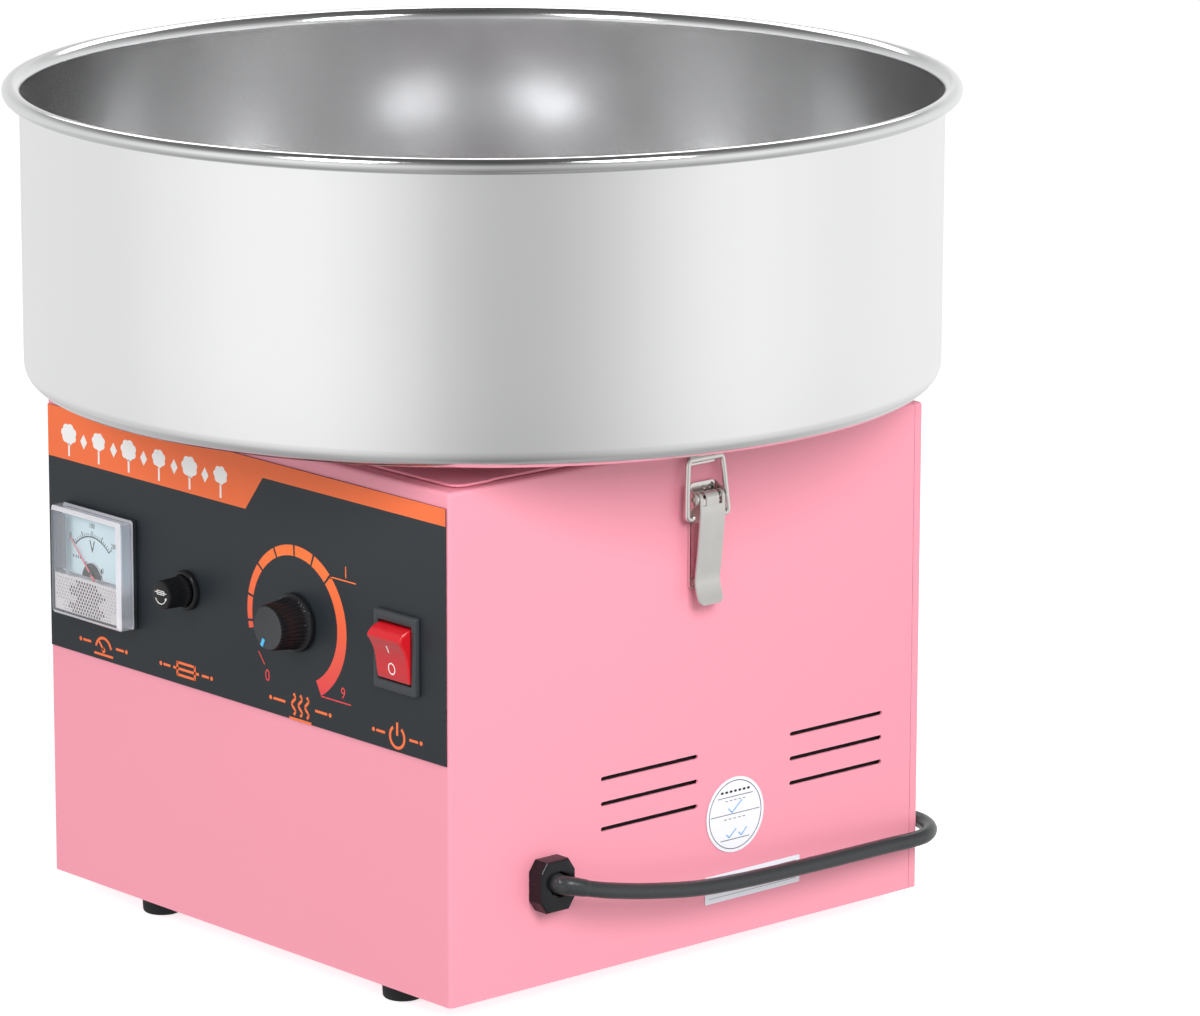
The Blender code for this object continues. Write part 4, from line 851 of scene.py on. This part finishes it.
def make_meter_inside():
    """The pale inner plate, the dial card with its printed arc, and the black pivot housing."""
    bm = bmesh.new()
    place = on_front(METER_X, CONTROL_Z, -173.5)
    card = DIAL_CARD
    lift = card + 0.08
    # The plate and the card below take finishes with a faint painted glow.
    add_prism(bm, rounded(29, 28.5, 1, 2), 0.1, 0.6, place, index=0)
    add_prism(bm, oblong(-27.2, -6.6, 26.8, 27), 0.6, card, place, 0.2, 1, index=1)
    centre = place @ standing(0.0, -4.2)
    add_band(bm, 20.5, 21.15, 44, 136, card, lift, centre, 40, 2)
    for index in range(21):
        angle = 136 - index * 4.6
        major = index % 5 == 0
        width = 0.75 if major else 0.42
        top = 24.3 if major else 22.9
        add_band(bm, 21.2, top, angle - width, angle + width, card, lift, centre, 2, 2)
    for text, angle in (("0", 136), ("100", 90), ("200", 44)):
        spot = centre @ standing(27 * cos(radians(angle)), 27 * sin(radians(angle)))
        add_glyphs(bm, text, 4, spot, card, lift, 2, squeeze=0.85)
    add_glyphs(bm, "V", 10, centre @ standing(0.0, 15), card, lift, 2, squeeze=0.8)
    for x in (-17, -14.8, -12.8, -11):
        add_prism(bm, bar(x, 2.5, x, 4.2, 0.6), card, lift, place, index=2)
    pivot = [(-9.2, -6.6), (9.2, -6.6)] + arc((0, -6.2), 8.5, 15, 165, 14)
    add_prism(bm, pivot, card, card + 0.6, place, 0.3, 2, index=3)
    for x, z in ((-5.8, 0.5), (8.8, -1)):
        add_prism(bm, blob(x, z, 1, 1.7, 12), card, card + 0.5, place, 0.2, 1, index=3)
    show(bm, "meter_dial_card", "meter_white dial black_ink satin_black", "root", ["meter_dial"])


def make_meter_needle():
    bm = bmesh.new()
    hub = Vector((METER_X, NEEDLE_Y - 1.3, CONTROL_Z - 4.2))
    place = on_front(METER_X, CONTROL_Z - 4.2, NEEDLE_Y - 0.6)
    add_lathe(bm, [(0, 0), (1.7, 0), (1.7, 0.9), (1.4, 1.2), (0, 1.2)], 32, place, index=1)
    direction = Vector((cos(radians(135)), 0, sin(radians(135))))
    add_tube(bm, [hub + direction * 1, hub + direction * 12, hub + direction * 25.6], lambda t: 0.52 - 0.2 * t, 10)
    add_tube(bm, [hub, hub - direction * 4.5], 0.7, 8)
    show(bm, "meter_pointer", "needle satin_black", "needle", ["meter_needle"])


def make_meter_cover():
    """The clear moulded cover: four walls, a bevelled front edge and a clear pane; its ribbed lower field is made
    apart.
    """
    bm = bmesh.new()
    place = on_front(METER_X, CONTROL_Z)
    half_x, half_z, deep, bevel = 31.25, 30.5, 12.5, 2.2
    back = 2.3

    def ring(inset, height):
        outline = rounded(half_x - inset, half_z - inset, max(0.6, 1.6 - inset * 0.3), 4)
        return stack(place, (outline, height))[0]

    outside = [ring(0, back), ring(0, deep - bevel), ring(0.2, deep - bevel + 0.3)]
    front_edge = [ring(0.2, deep - bevel + 0.3), ring(bevel - 0.3, deep - 0.2), ring(bevel, deep)]
    inside = [ring(bevel + 0.1, deep - 1.6), ring(1.7, deep - bevel - 0.8), ring(1.7, back)]
    add_loft(bm, outside, 1, caps=False)
    # The front edge and, below, the back rim take a near-white, nearly opaque finish: a painted highlight.
    add_loft(bm, front_edge, 2, caps=False)
    add_loft(bm, inside, 1, caps=False)
    add_loft(bm, [ring(1.7, back), ring(0, back)], 2, caps=False)
    pane_top = [bm.verts.new(p) for p in ring(bevel, deep)]
    pane_low = [bm.verts.new(p) for p in ring(bevel + 0.1, deep - 1.6)]
    whole([bm.faces.new(pane_top), bm.faces.new(list(reversed(pane_low)))], 0)
    show(bm, "meter_clear_cover", "lens lens_side lens_edge", "root", ["meter_cover"], angle=25)


def make_meter_ribbing():
    """The cover's frosted lower field, with its grid of small moulded pyramids, a painted glint of the inner wall as
    grey bands, and a thin violet line at the right.
    """
    bm = bmesh.new()
    place = on_front(METER_X, CONTROL_Z, -183.5)
    low, high = -27.6, -7.2
    add_prism(bm, [(-28.7, low), (28.7, low), (28.7, high), (12, high), (9.2, high + 0.4),
                   (-9.2, high + 0.4), (-12, high), (-28.7, high)], -2, -1.6, place, index=0)
    across, down = 2.4, 1.9
    rows, columns = 10, 23
    # Index 3 is a painted glint: grey bands where the inner wall shows through the pane. Index 4 is a thin violet
    # line.
    for corners, index in (((-26.2, -4, -18.4, 26.8), 3), ((-26.2, -6.6, -18.4, -5.2), 3),
                           ((27.7, -12.5, 28.5, 24), 4)):
        add_prism(bm, oblong(*corners), -1.6, -1.3, place, index=index)
    for row in range(rows):
        for column in range(columns):
            x = -27 + column * across + (across / 2 if row % 2 else 0)
            z = low + 1.2 + row * down
            if x > 27.5 or hypot(abs(x) - 24.6, z + 24.5) < 3.4:
                continue
            middle = abs(x) < 13 + 4 * sin(row * 1.3)
            size = 0.62 if middle else 0.42
            outline = oblong(x - size, z - size * 1.2, x + size, z + size * 1.2)
            verts = [bm.verts.new(place @ Vector((a, b, -1.6))) for a, b in outline]
            tip = bm.verts.new(place @ Vector((x, z, -1.2)))
            made = [bm.faces.new((verts[k], verts[(k + 1) % 4], tip)) for k in range(4)]
            made.append(bm.faces.new(list(reversed(verts))))
            whole(made, 1 if middle else 2)
    show(bm, "meter_ribbed_field", "frost rib_dark rib_pale strip meter_violet", "root", angle=10)


def make_screw(side, sign):
    """A domed screw head with a cross recess."""
    bm = bmesh.new()
    radius, proud = 2.4, 3
    place = on_front(METER_X + sign * 24.6, CONTROL_Z - 24.5, -173.5)
    add_lathe(bm, [(0, 0), (radius, 0), (radius, proud * 0.45), (radius * 0.86, proud * 0.72),
                   (radius * 0.5, proud * 0.95), (0, proud)], 32, place)
    turned = place @ Matrix.Rotation(radians(28), 4, "Z")
    for a in (0, 90):
        spot = turned @ Matrix.Rotation(radians(a), 4, "Z")
        add_block(bm, (-radius * 0.72, -radius * 0.14, proud * 0.6), (radius * 0.72, radius * 0.14, proud * 1.02),
                  0, 1, 1, spot)
    show(bm, f"meter_fixing_{side}", "nickel black_ink", "root", [f"meter_screw_{side}"])


# ---- the fuse, the knob and the switch


def ripple_of(count, depth, low, high):
    """Ribs round a turned piece between two heights."""

    def ripple(angle, radius, height):
        if low <= height <= high and radius > 4:
            wave = 0.5 + 0.5 * cos(count * angle)
            return radius - depth * (wave ** 0.6)
        return radius

    return ripple


def make_fuse():
    place = on_front(FUSE_X, CONTROL_Z)
    bm = bmesh.new()
    add_lathe(bm, [(8.8, 0.0), (11, 0.0), (11, 1.8), (10.6, 2.5), (10, 2.9), (9.2, 3), (8.9, 2.4), (8.2, 2.2),
        (3.6, 2.2), (3.6, -37), (0.0, -37), (0.0, -42.5), (7.6, -42.5), (7.6, 0.0)], 72, place)
    show(bm, "fuse_bushing", "gloss_black", "root", ["fuse_holder"])
    bm = bmesh.new()
    profile = [(3.4, 12), (3.4, 3.3), (8.4, 3.3), (8.5, 4), (8.5, 5.2), (8.3, 5.6), (8.3, 6), (8.1, 11), (7.9, 16.2),
        (7.7, 17), (7.2, 17.8), (6.2, 18), (0.0, 17.9)]
    add_lathe(bm, profile + [(0.0, 12)], 240, place, ripple=ripple_of(30, 0.35, 5.8, 16.5))
    add_band(bm, 4.6, 5, 205, 335, 17.9, 18.12, place, 20, 1)
    tip = place @ Matrix.Rotation(radians(335), 4, "Z")
    add_prism(bm, [(4, 0.0), (5.6, 0.0), (4.8, 1.5)], 17.9, 18.12, tip, index=1)
    for a, b in (((-3, 2.4), (3, 2.4)), ((-3, 0.4), (3, 0.4)), ((-3, 2.6), (-3, 0.2)), ((3, 2.6), (3, 0.2)),
            ((-5, 1.4), (5, 1.4))):
        add_prism(bm, bar(*a, *b, 0.4), 17.9, 18.12, place, index=1)
    show(bm, "fuse_twist_cap", "gloss_black white_ink", "fuse_cap", ["fuse_cap"])
    bm = bmesh.new()
    low, high = box_of("glass_fuse")
    rod = on_front(FUSE_X, CONTROL_Z, high.y)
    length = high.y - low.y
    add_lathe(bm, [(0, 0), (2.8, 0), (3, 0.3), (3, 6), (2.85, 6.2), (2.85, length - 6.2), (3, length - 6),
        (3, length - 0.3), (2.8, length), (0, length)], 40, rod)
    show(bm, "fuse_cartridge", "nickel", "fuse", ["glass_fuse"])


def make_knob():
    """A fluted knob on a round skirt, with a flat front and a short bright pointer near its edge."""
    place = on_front(KNOB_X, CONTROL_Z)
    bm = bmesh.new()

    def flute(angle, radius, height):
        if radius < 10.5 or height < 3.6:
            return radius
        fade = min(1.0, max(0.0, (19.4 - height) / 0.8) + 0.55)
        return radius - 0.42 * fade * (0.5 + 0.5 * cos(36 * angle)) ** 0.7

    profile = [(0.0, 0.3), (15, 0.3), (16, 0.8), (16, 2.2), (15.7, 2.8), (15, 3.1), (14.6, 3.3), (14.2, 4),
        (13.8, 6), (13.2, 10), (12.7, 15), (12.35, 18.4), (12.1, 19.2), (11.6, 19.5)]
    add_lathe(bm, profile, 288, place, ripple=flute)
    add_lathe(bm, [(11.6, 19.5), (11.2, 19.35), (0.0, 19.3)], 288, place, index=1, ripple=flute)
    turn = place @ Matrix.Rotation(radians(244), 4, "Z")
    add_prism(bm, oblong(7.2, -1.2, 11.9, 1.2), 19, 19.62, turn, 0.1, 1, index=2)
    show(bm, "heat_knob", "gloss_black knob_face cyan", "knob", ["knob"], angle=32)


def make_switch():
    place = on_front(SWITCH_X, CONTROL_Z)
    bm = bmesh.new()
    outer_x, outer_z, well_x, well_z = 17.1, 21.2, 13.4, 15.8

    def ring(half_x, half_z, height, radius):
        return stack(place, (rounded(half_x, half_z, radius, 4), height))[0]

    rings = [ring(outer_x, outer_z, 0.0, 1.2), ring(outer_x, outer_z, 2.2, 1.2),
        ring(outer_x - 0.3, outer_z - 0.3, 2.7, 1.1), ring(outer_x - 0.8, outer_z - 0.8, 3, 1),
        ring(well_x + 0.7, well_z + 0.7, 3, 0.6), ring(well_x + 0.2, well_z + 0.2, 2.6, 0.5),
        ring(well_x, well_z, 2, 0.4), ring(well_x, well_z, -7.5, 0.4)]
    add_loft(bm, rings, 0, caps=False)
    whole([bm.faces.new([bm.verts.new(p) for p in rings[-1]])], 0)
    add_block(bm, (-13.2, -16.5, PANEL_FACE - box_of("switch_body")[1].y), (13.2, 16.5, -8), 0.6, 1, 0, place)
    add_loft(bm, [ring(14, 17.2, -10, 0.6), ring(14, 17.2, 0.0, 0.6),
                  ring(outer_x, outer_z, 0.0, 1.2)], 0, caps=False)
    show(bm, "switch_bezel", "satin_black", "root", ["switch_body"])


def rocker_section():
    """(height, out of the bezel) round the rocker: foot, hollow front, round ridge, then the sloping top."""
    front = [(-14.6, 3), (-13.8, 3.4), (-10.5, 4.1), (-6, 4.6), (-2.5, 5.2),
             (0.5, 6), (3, 7.1), (5.2, 8.3), (6.8, 9.3), (7.8, 10.1)]
    ridge = [(8.6, 10.45), (9.4, 10.5), (10.2, 10.1)]
    top = [(11.3, 9.1), (12.4, 7.7), (13.4, 6), (14.2, 4), (14.7, 2)]
    return front, ridge, top


def make_rocker():
    place = on_front(SWITCH_X, CONTROL_Z)
    front, ridge, top = rocker_section()
    half = 13.1
    line = front + ridge + top
    bm = bmesh.new()
    rings = []
    for share, inset in ((-1.0, 1.6), (-0.985, 0.6), (-0.955, 0.0), (-0.5, -0.1), (0.5, -0.1),
                         (0.955, 0.0), (0.985, 0.6), (1.0, 1.6)):
        points = []
        for height, out in line:
            points.append(place @ Vector((half * share, height - (inset * 0.25 if height > 9 else 0),
                                          max(1.6, out - inset))))
        points.append(place @ Vector((half * share, 14.7, -1.2)))
        points.append(place @ Vector((half * share, -14.6, -1.2)))
        rings.append(points)
    add_loft(bm, rings, 0)

    def lay(height):
        for (a, b), (c, d) in zip(line, line[1:]):
            if a <= height <= c:
                return b + (d - b) * (height - a) / (c - a), atan2(d - b, c - a)
        return 5, 0.0

    out, slope = lay(3)
    mark = place @ standing(0.0, 2.6, out - 0.02) @ Matrix.Rotation(slope, 4, "X")
    add_prism(bm, bar(0.0, -2.2, 0.0, 2.6, 0.7), 0.0, 0.12, mark, index=1)
    out, slope = lay(-8.2)
    mark = place @ standing(0.0, -8.2, out + 0.1) @ Matrix.Rotation(slope, 4, "X")
    rings = []
    for step in range(40):
        angle = 2 * pi * step / 40
        rings.append([mark @ Vector((0.86 * r * cos(angle), r * sin(angle), h))
                      for r, h in ((2.6, -0.1), (3.3, -0.1), (3.3, 0.1), (2.6, 0.1))])
    add_loft(bm, rings, 1, loop=True)
    show(bm, "rocker_cap", "red white_ink", "rocker", ["rocker"], angle=30)


# ---- the latches


def strip_ring(centre, normal, half_width, half_thick, edge, shift=0.0):
    """A bevelled rectangle across a sheet strip. centre and normal are (out, height) pairs."""
    w, h, e = half_width, half_thick, edge
    corners = ((-w, h - e), (-w + e, h), (w - e, h), (w, h - e), (w, -h + e), (w - e, -h), (-w + e, -h), (-w, -h + e))
    return [(shift + a, centre[0] + normal[0] * b, centre[1] + normal[1] * b) for a, b in corners]


def add_strip(bm, line, width, thick, place, shift=0.0, index=0):
    """A sheet strip that follows (out, height) points. width may be a function of the share along the strip."""
    rings = []
    for step, point in enumerate(line):
        before, after = line[max(step - 1, 0)], line[min(step + 1, len(line) - 1)]
        along = Vector((after[0] - before[0], after[1] - before[1])).normalized()
        normal = (-along.y, along.x)
        half = width(point) if callable(width) else width
        rings.append([place @ Vector((across, height, out))
                      for across, out, height in strip_ring(point, normal, half, thick / 2, thick * 0.3, shift)])
    add_loft(bm, rings, index)


def flat_line(points, spacing):
    return [(p.x, p.y) for p in smooth_line([(a, b, 0) for a, b in points], spacing)]


def make_lever(side, sign):
    """The pull lever: a long flared strip whose top curls over its pin between two narrow knuckles."""
    bm = bmesh.new()
    place = on_side(LATCH_Y, 262.5, sign, WALL_X + 6.8)
    tip = -58
    front = flat_line([(3, -3.6), (3, -10), (1.1, -30), (-0.6, -44), (0.2, -50), (3, tip)], 0.6)

    def width(point):
        rest = point[1] - tip
        round_off = 4
        if rest >= round_off:
            return 9
        gap = round_off - max(rest, 0.1)
        return 9 - (round_off - max(0.0, round_off ** 2 - gap ** 2) ** 0.5)

    add_strip(bm, front, width, 1.1, place)
    curl = arc((0, 0), 3, 205, 5, 20) + [(3, -0.6), (3, -2), (3, -4)]
    add_strip(bm, curl, 4.7, 0.9, place)
    knuckle = arc((0, 0), 3, 262, 2, 26) + [(3, -1), (3, -4)]
    for shift in (-7.8, 7.8):
        add_strip(bm, knuckle, 1.2, 0.9, place, shift)
    show(bm, f"latch_lever_strip_{side}", "brushed", f"lever_{side}",
         [f"latch_lever_{side}"], angle=40)


def make_bail(side, sign):
    """The wire loop that hooks over the bowl's keeper: narrow at the top, its feet curled in at the bottom."""
    bm = bmesh.new()
    place = on_side(LATCH_Y, 0.0, sign)
    half = [(10.2, 6.6, 252.8), (11.8, 6.4, 251.9), (13.4, 6.2, 252.1), (14.4, 6.1, 253.2), (14.55, 6, 255),
        (13.9, 5.3, 264), (13.1, 4.6, 274), (12.4, 4.1, 280.6), (12, 4, 282), (11, 4, 282.9), (9.6, 4, 283)]
    points = [(a, h, o) for a, o, h in half] + [(-a, h, o) for a, o, h in reversed(half)]
    path = [place @ p for p in smooth_line(points, 0.8)]
    add_tube(bm, path, 1.55, 18)
    show(bm, f"latch_wire_loop_{side}", "nickel", f"bail_{side}", [f"latch_bail_{side}"], angle=50)


def make_latch_base(side, sign):
    """The pressed plate on the wall, with two ears that carry the pin."""
    bm = bmesh.new()
    place = on_side(LATCH_Y, 241.3, sign)
    outer, inner = rounded(8.8, 28.8, 2.2, 5), rounded(7.8, 27.8, 1.6, 5)
    add_loft(bm, stack(place, (outer, 0.3), (outer, 2), (inner, 2), (inner, 0.3)), loop=True)
    add_block(bm, (-8, 6, 0.3), (8, 28, 1.1), 0.2, 1, 0, place)
    add_block(bm, (-8, -28, 0.3), (8, -23.5, 0.9), 0.2, 1, 0, place)
    ears = on_side(LATCH_Y, 262.5, sign)
    for shift in (-10.4, 10.4):
        outline = [(1.2, -9), (7.5, -4)] + arc((6.8, 0.0), 3.4, -60, 90, 10) + [(1.2, 6.8)]
        rings = []
        for offset in (-0.6, -0.4, 0.4, 0.6):
            grow = 0.0 if abs(offset) < 0.5 else -0.2
            rings.append([ears @ Vector((shift + offset, h * (1 + grow * 0.04), o + grow)) for o, h in outline])
        add_loft(bm, rings)
    show(bm, f"latch_wall_plate_{side}", "nickel", "root", [f"latch_base_{side}"])


# ---- the cord bushing, labels and feet


def make_gland():
    """An eight-sided clamp bushing in two halves, its round mouth nearer the rear, where the cord turns."""
    bm = bmesh.new()
    place = on_side(*GLAND_PLACE)
    w, h, cw, ch = 11.8, 14, 4.3, 6.2
    corners = [(w, -h + ch), (w, h - ch), (w - cw, h), (-w + cw, h), (-w, h - ch), (-w, -h + ch), (-w + cw, -h),
               (w - cw, -h)]
    outline = []
    for a, b in zip(corners, corners[1:] + corners[:1]):
        outline += [(a[0] + (b[0] - a[0]) * k / 6, a[1] + (b[1] - a[1]) * k / 6) for k in range(6)]
    mouth_x, mouth_y, mouth_r = 1.2, 1, 6.6

    def mouth(radius, height):
        out = []
        for a, b in outline:
            angle = atan2(b - mouth_y, a - mouth_x)
            out.append(place @ Vector((mouth_x + radius * cos(angle), mouth_y + radius * sin(angle), height)))
        return out

    def block(factor, height):
        return [place @ Vector((a * factor, b * factor, height)) for a, b in outline]

    rings = [block(1.0, 0.3), block(1.0, 8.8), block(0.985, 9.8), block(0.95, 10.4), block(0.9, 10.6),
             mouth(mouth_r + 0.8, 10.6), mouth(mouth_r, 10), mouth(mouth_r - 0.2, 3)]
    add_loft(bm, rings, 0)
    add_lathe(bm, [(0.0, -13), (8.5, -13), (9.5, -11.8), (9.5, 1), (0.0, 1)], 40, place)
    for sign in (-1, 1):
        x0, x1 = sorted((sign * (w + 0.12), sign * (w - 0.6)))
        add_block(bm, (x0, 2.1, 0.8), (x1, 2.6, 9.8), 0, 1, 1, place)
    show(bm, "cord_bushing", "gloss_black black_ink", "root", ["cord_gland"], angle=30)


def make_sticker():
    """A round paper check sticker: ring, ruled lines and blue tick marks, with no words."""
    bm = bmesh.new()
    place = on_side(31.4, 81.7)
    add_prism(bm, circle(21, 96), 0.3, 0.5, place, 0.1, 1, index=0)
    lift, top = 0.5, 0.57
    add_band(bm, 18.8, 19.2, 0, 360, lift, top, place, 96, 1)
    for z, half in ((10.3, 12.8), (0.6, 17.8), (-13.6, 10.6)):
        add_prism(bm, bar(-half, z, half, z, 0.35), lift, top, place, index=1)
    for k in range(7):
        x = -9.6 + k * 3.2
        add_prism(bm, blob(x, 13.2, 1.1, 0.7, 12), lift, top, place, index=1)
    for k in range(5):
        add_prism(bm, blob(-6.4 + k * 3.2, 8.2, 1, 0.28, 10), lift, top, place, index=2)
        add_prism(bm, blob(-7.2 + k * 3.4, -2, 1.2, 0.28, 10), lift, top, place, index=2)
    strokes = (((-5, 4), (-2.4, 1.4)), ((-2.4, 1.4), (5, 7.4)), ((-6.4, -10.4), (-4.4, -12.4)),
        ((-4.4, -12.4), (0.8, -8)), ((2.6, -10.4), (4.6, -12.4)), ((4.6, -12.4), (8.6, -8.4)))
    for a, b in strokes:
        add_prism(bm, bar(*a, *b, 0.75), lift, top, place, index=3)
    show(bm, "check_sticker", "paper black_ink grey_ink blue_ink", "root", ["round_sticker"])


def make_label():
    """A plain white rating plate with ruled rows and no words."""
    bm = bmesh.new()
    place = on_side(44.75, 42.25)
    add_prism(bm, rounded(34.95, 7.75, 0.6, 3), 0.3, 0.5, place, 0.1, 1, index=0)
    for row in range(4):
        z = 5 - row * 3.3
        add_prism(bm, bar(-32, z, 32, z, 0.22), 0.5, 0.56, place, index=1)
    show(bm, "plain_rating_plate", "paper grey_ink", "root", ["rating_label"])


def make_feet():
    for name in ("foot_front_left", "foot_front_right", "foot_rear_left", "foot_rear_right"):
        low, high = box_of(name)
        centre = (low + high) / 2
        radius = (high.x - low.x) / 2
        tall = high.z - low.z
        bm = bmesh.new()
        profile = [(0.0, 2.2), (3.5, 2.2), (4.2, 0.6), (5, 0.0)]
        profile += arc((radius - 2.4, 1.8), 1.8, -90, 0, 5)
        profile += [(radius - 0.3, tall * 0.55), (radius, tall - 0.6), (radius - 0.5, tall), (0.0, tall)]
        add_lathe(bm, profile, 56, standing(centre.x, centre.y, low.z))
        show(bm, f"rubber_{name}", "foot", "root", [name])


def make_vent_shade_plates():
    """Dark plates behind the side slots, painted shade for the inside of the housing: a shallow tray with a rolled
    edge for each group.
    """
    bm = bmesh.new()
    for sign in (-1, 1):
        for middle in (-30.5, 106.7):
            place = on_side(middle, 105, sign, 166)
            outer, inner = rounded(38, 20, 3, 4), rounded(36.8, 18.8, 2, 4)
            add_loft(bm, stack(place, (outer, 0.0), (outer, 1.6), (inner, 1.6), (inner, 0.6)))
    show(bm, "vent_shade_plates", "foot", "root")


def dress_frame():
    """Finishes for the CAD solids that stay as they are."""
    for key, names in (("pink", "housing rear_panel bottom_plate deck_front_strip deck_plate"),
            ("film", "control_overlay"), ("satin_steel", "head_band"),
            ("nickel",
            "bowl_keeper_right bowl_keeper_left latch_pin_right latch_pin_left pot_shaft drive_shaft motor_plate"),
            ("aluminium", "head_base head_cover sugar_cup motor potentiometer"),
            ("brass", "heater_ring slip_ring_hub"), ("satin_black",
            "meter_body fuse_holder_nut brush_holder terminal_block gland_nut"),
            ("foot", "bowl_seat_ring motor_mount_1 motor_mount_2 motor_mount_3 motor_mount_4"),
            ("board", "control_board")):
        for name in names.split():
            for slot in NODES[name].material_slots:
                slot.material = PAINTS[key]
            if not NODES[name].material_slots:
                NODES[name].data.materials.append(PAINTS[key])


def all_paints():
    return {
        "pink": pink_paint(),
        "satin_steel": satin_steel(),
        "bowl_inside": bowl_inside_steel(),
        "rim": rim_steel(),
        "nickel": nickel(),
        "brushed": brushed_nickel(),
        "aluminium": cast_aluminium(),
        "brass": brass(),
        "film": film_dark(),
        "orange": ink("orange_ink", ORANGE),
        "scale": by_height(ink("scale_ink", ORANGE), 0.16, 0.232, RED_END, linear(252, 122, 58)),
        "white_ink": ink("white_ink", linear(246, 244, 242)),
        "black_ink": ink("black_ink", (0.012, 0.012, 0.014, 1)),
        "grey_ink": ink("grey_ink", (0.2, 0.2, 0.21, 1)),
        "blue_ink": ink("blue_ink", linear(120, 175, 225)),
        "cyan": ink("cyan_paint", linear(84, 186, 232), 0.3),
        "paper": ink("label_paper", linear(238, 238, 246), 0.4),
        "gloss_black": glossy_black(),
        "satin_black": satin_black(),
        "knob_face": finish("knob_face", (0.04, 0.044, 0.048, 1), 0.5, tint=0.06, tint_scale=300, grain=2600,
                            bump=0.3, depth=0.00002, gloss=0.35),
        "cord": cord_rubber(),
        "foot": foot_rubber(),
        "red": finish("rocker_red", linear(206, 22, 34), 0.24, tint_scale=150, grain=1500,
                      rough_change=0.05, bump=0.1, depth=0.00002, coat=0.2),
        # The dial card and the pale inner plate carry a faint painted glow, which lifts them behind the clear cover.
        "dial": ink("dial_card_painted_glow", linear(212, 232, 240), 0.5, glow=0.06),
        "meter_white": ink("meter_white", linear(222, 226, 232), 0.5, glow=0.04),
        "meter_violet": ink("meter_violet", linear(112, 112, 160), 0.4),
        "needle": ink("needle_red", linear(232, 130, 138), 0.4),
        "lens": lens_plastic("clear_pane", 0.1, (0.95, 0.97, 1.0, 1)),
        "lens_side": lens_plastic("clear_wall", 0.34, linear(222, 228, 238)),
        # Painted highlight: the cover's edges are painted near white and nearly opaque.
        "lens_edge": lens_plastic("clear_edge_painted_highlight", 0.85, linear(244, 244, 250), 0.12),
        "strip": lens_plastic("inner_wall_glint", 0.62, linear(150, 152, 160), 0.3),
        "frost": lens_plastic("frosted_field", 0.8, linear(236, 230, 232), 0.3),
        "rib_dark": ink("rib_dark", linear(84, 72, 84), 0.3),
        "rib_pale": ink("rib_pale", linear(168, 166, 178), 0.3),
        "board": finish("circuit_board", (0.02, 0.1, 0.05, 1), 0.4, tint=0.15, tint_scale=120, grain=1200),
    }


def make_screws():
    for side, sign in (("left", -1), ("right", 1)):
        make_screw(side, sign)


def make_latches():
    for side, sign in (("right", 1), ("left", -1)):
        make_lever(side, sign)
        make_bail(side, sign)
        make_latch_base(side, sign)


PAINTS = all_paints()
for make in (make_camera, make_cord_set, make_world, make_lights, make_floor, dress_frame, make_bowl, make_header,
             make_header_signs, make_captions, make_heat_scale, make_meter_inside, make_meter_needle,
             make_meter_cover, make_meter_ribbing, make_screws, make_fuse, make_knob, make_switch, make_rocker,
             make_latches, make_gland, make_sticker, make_label, make_feet, make_vent_shade_plates):
    make()
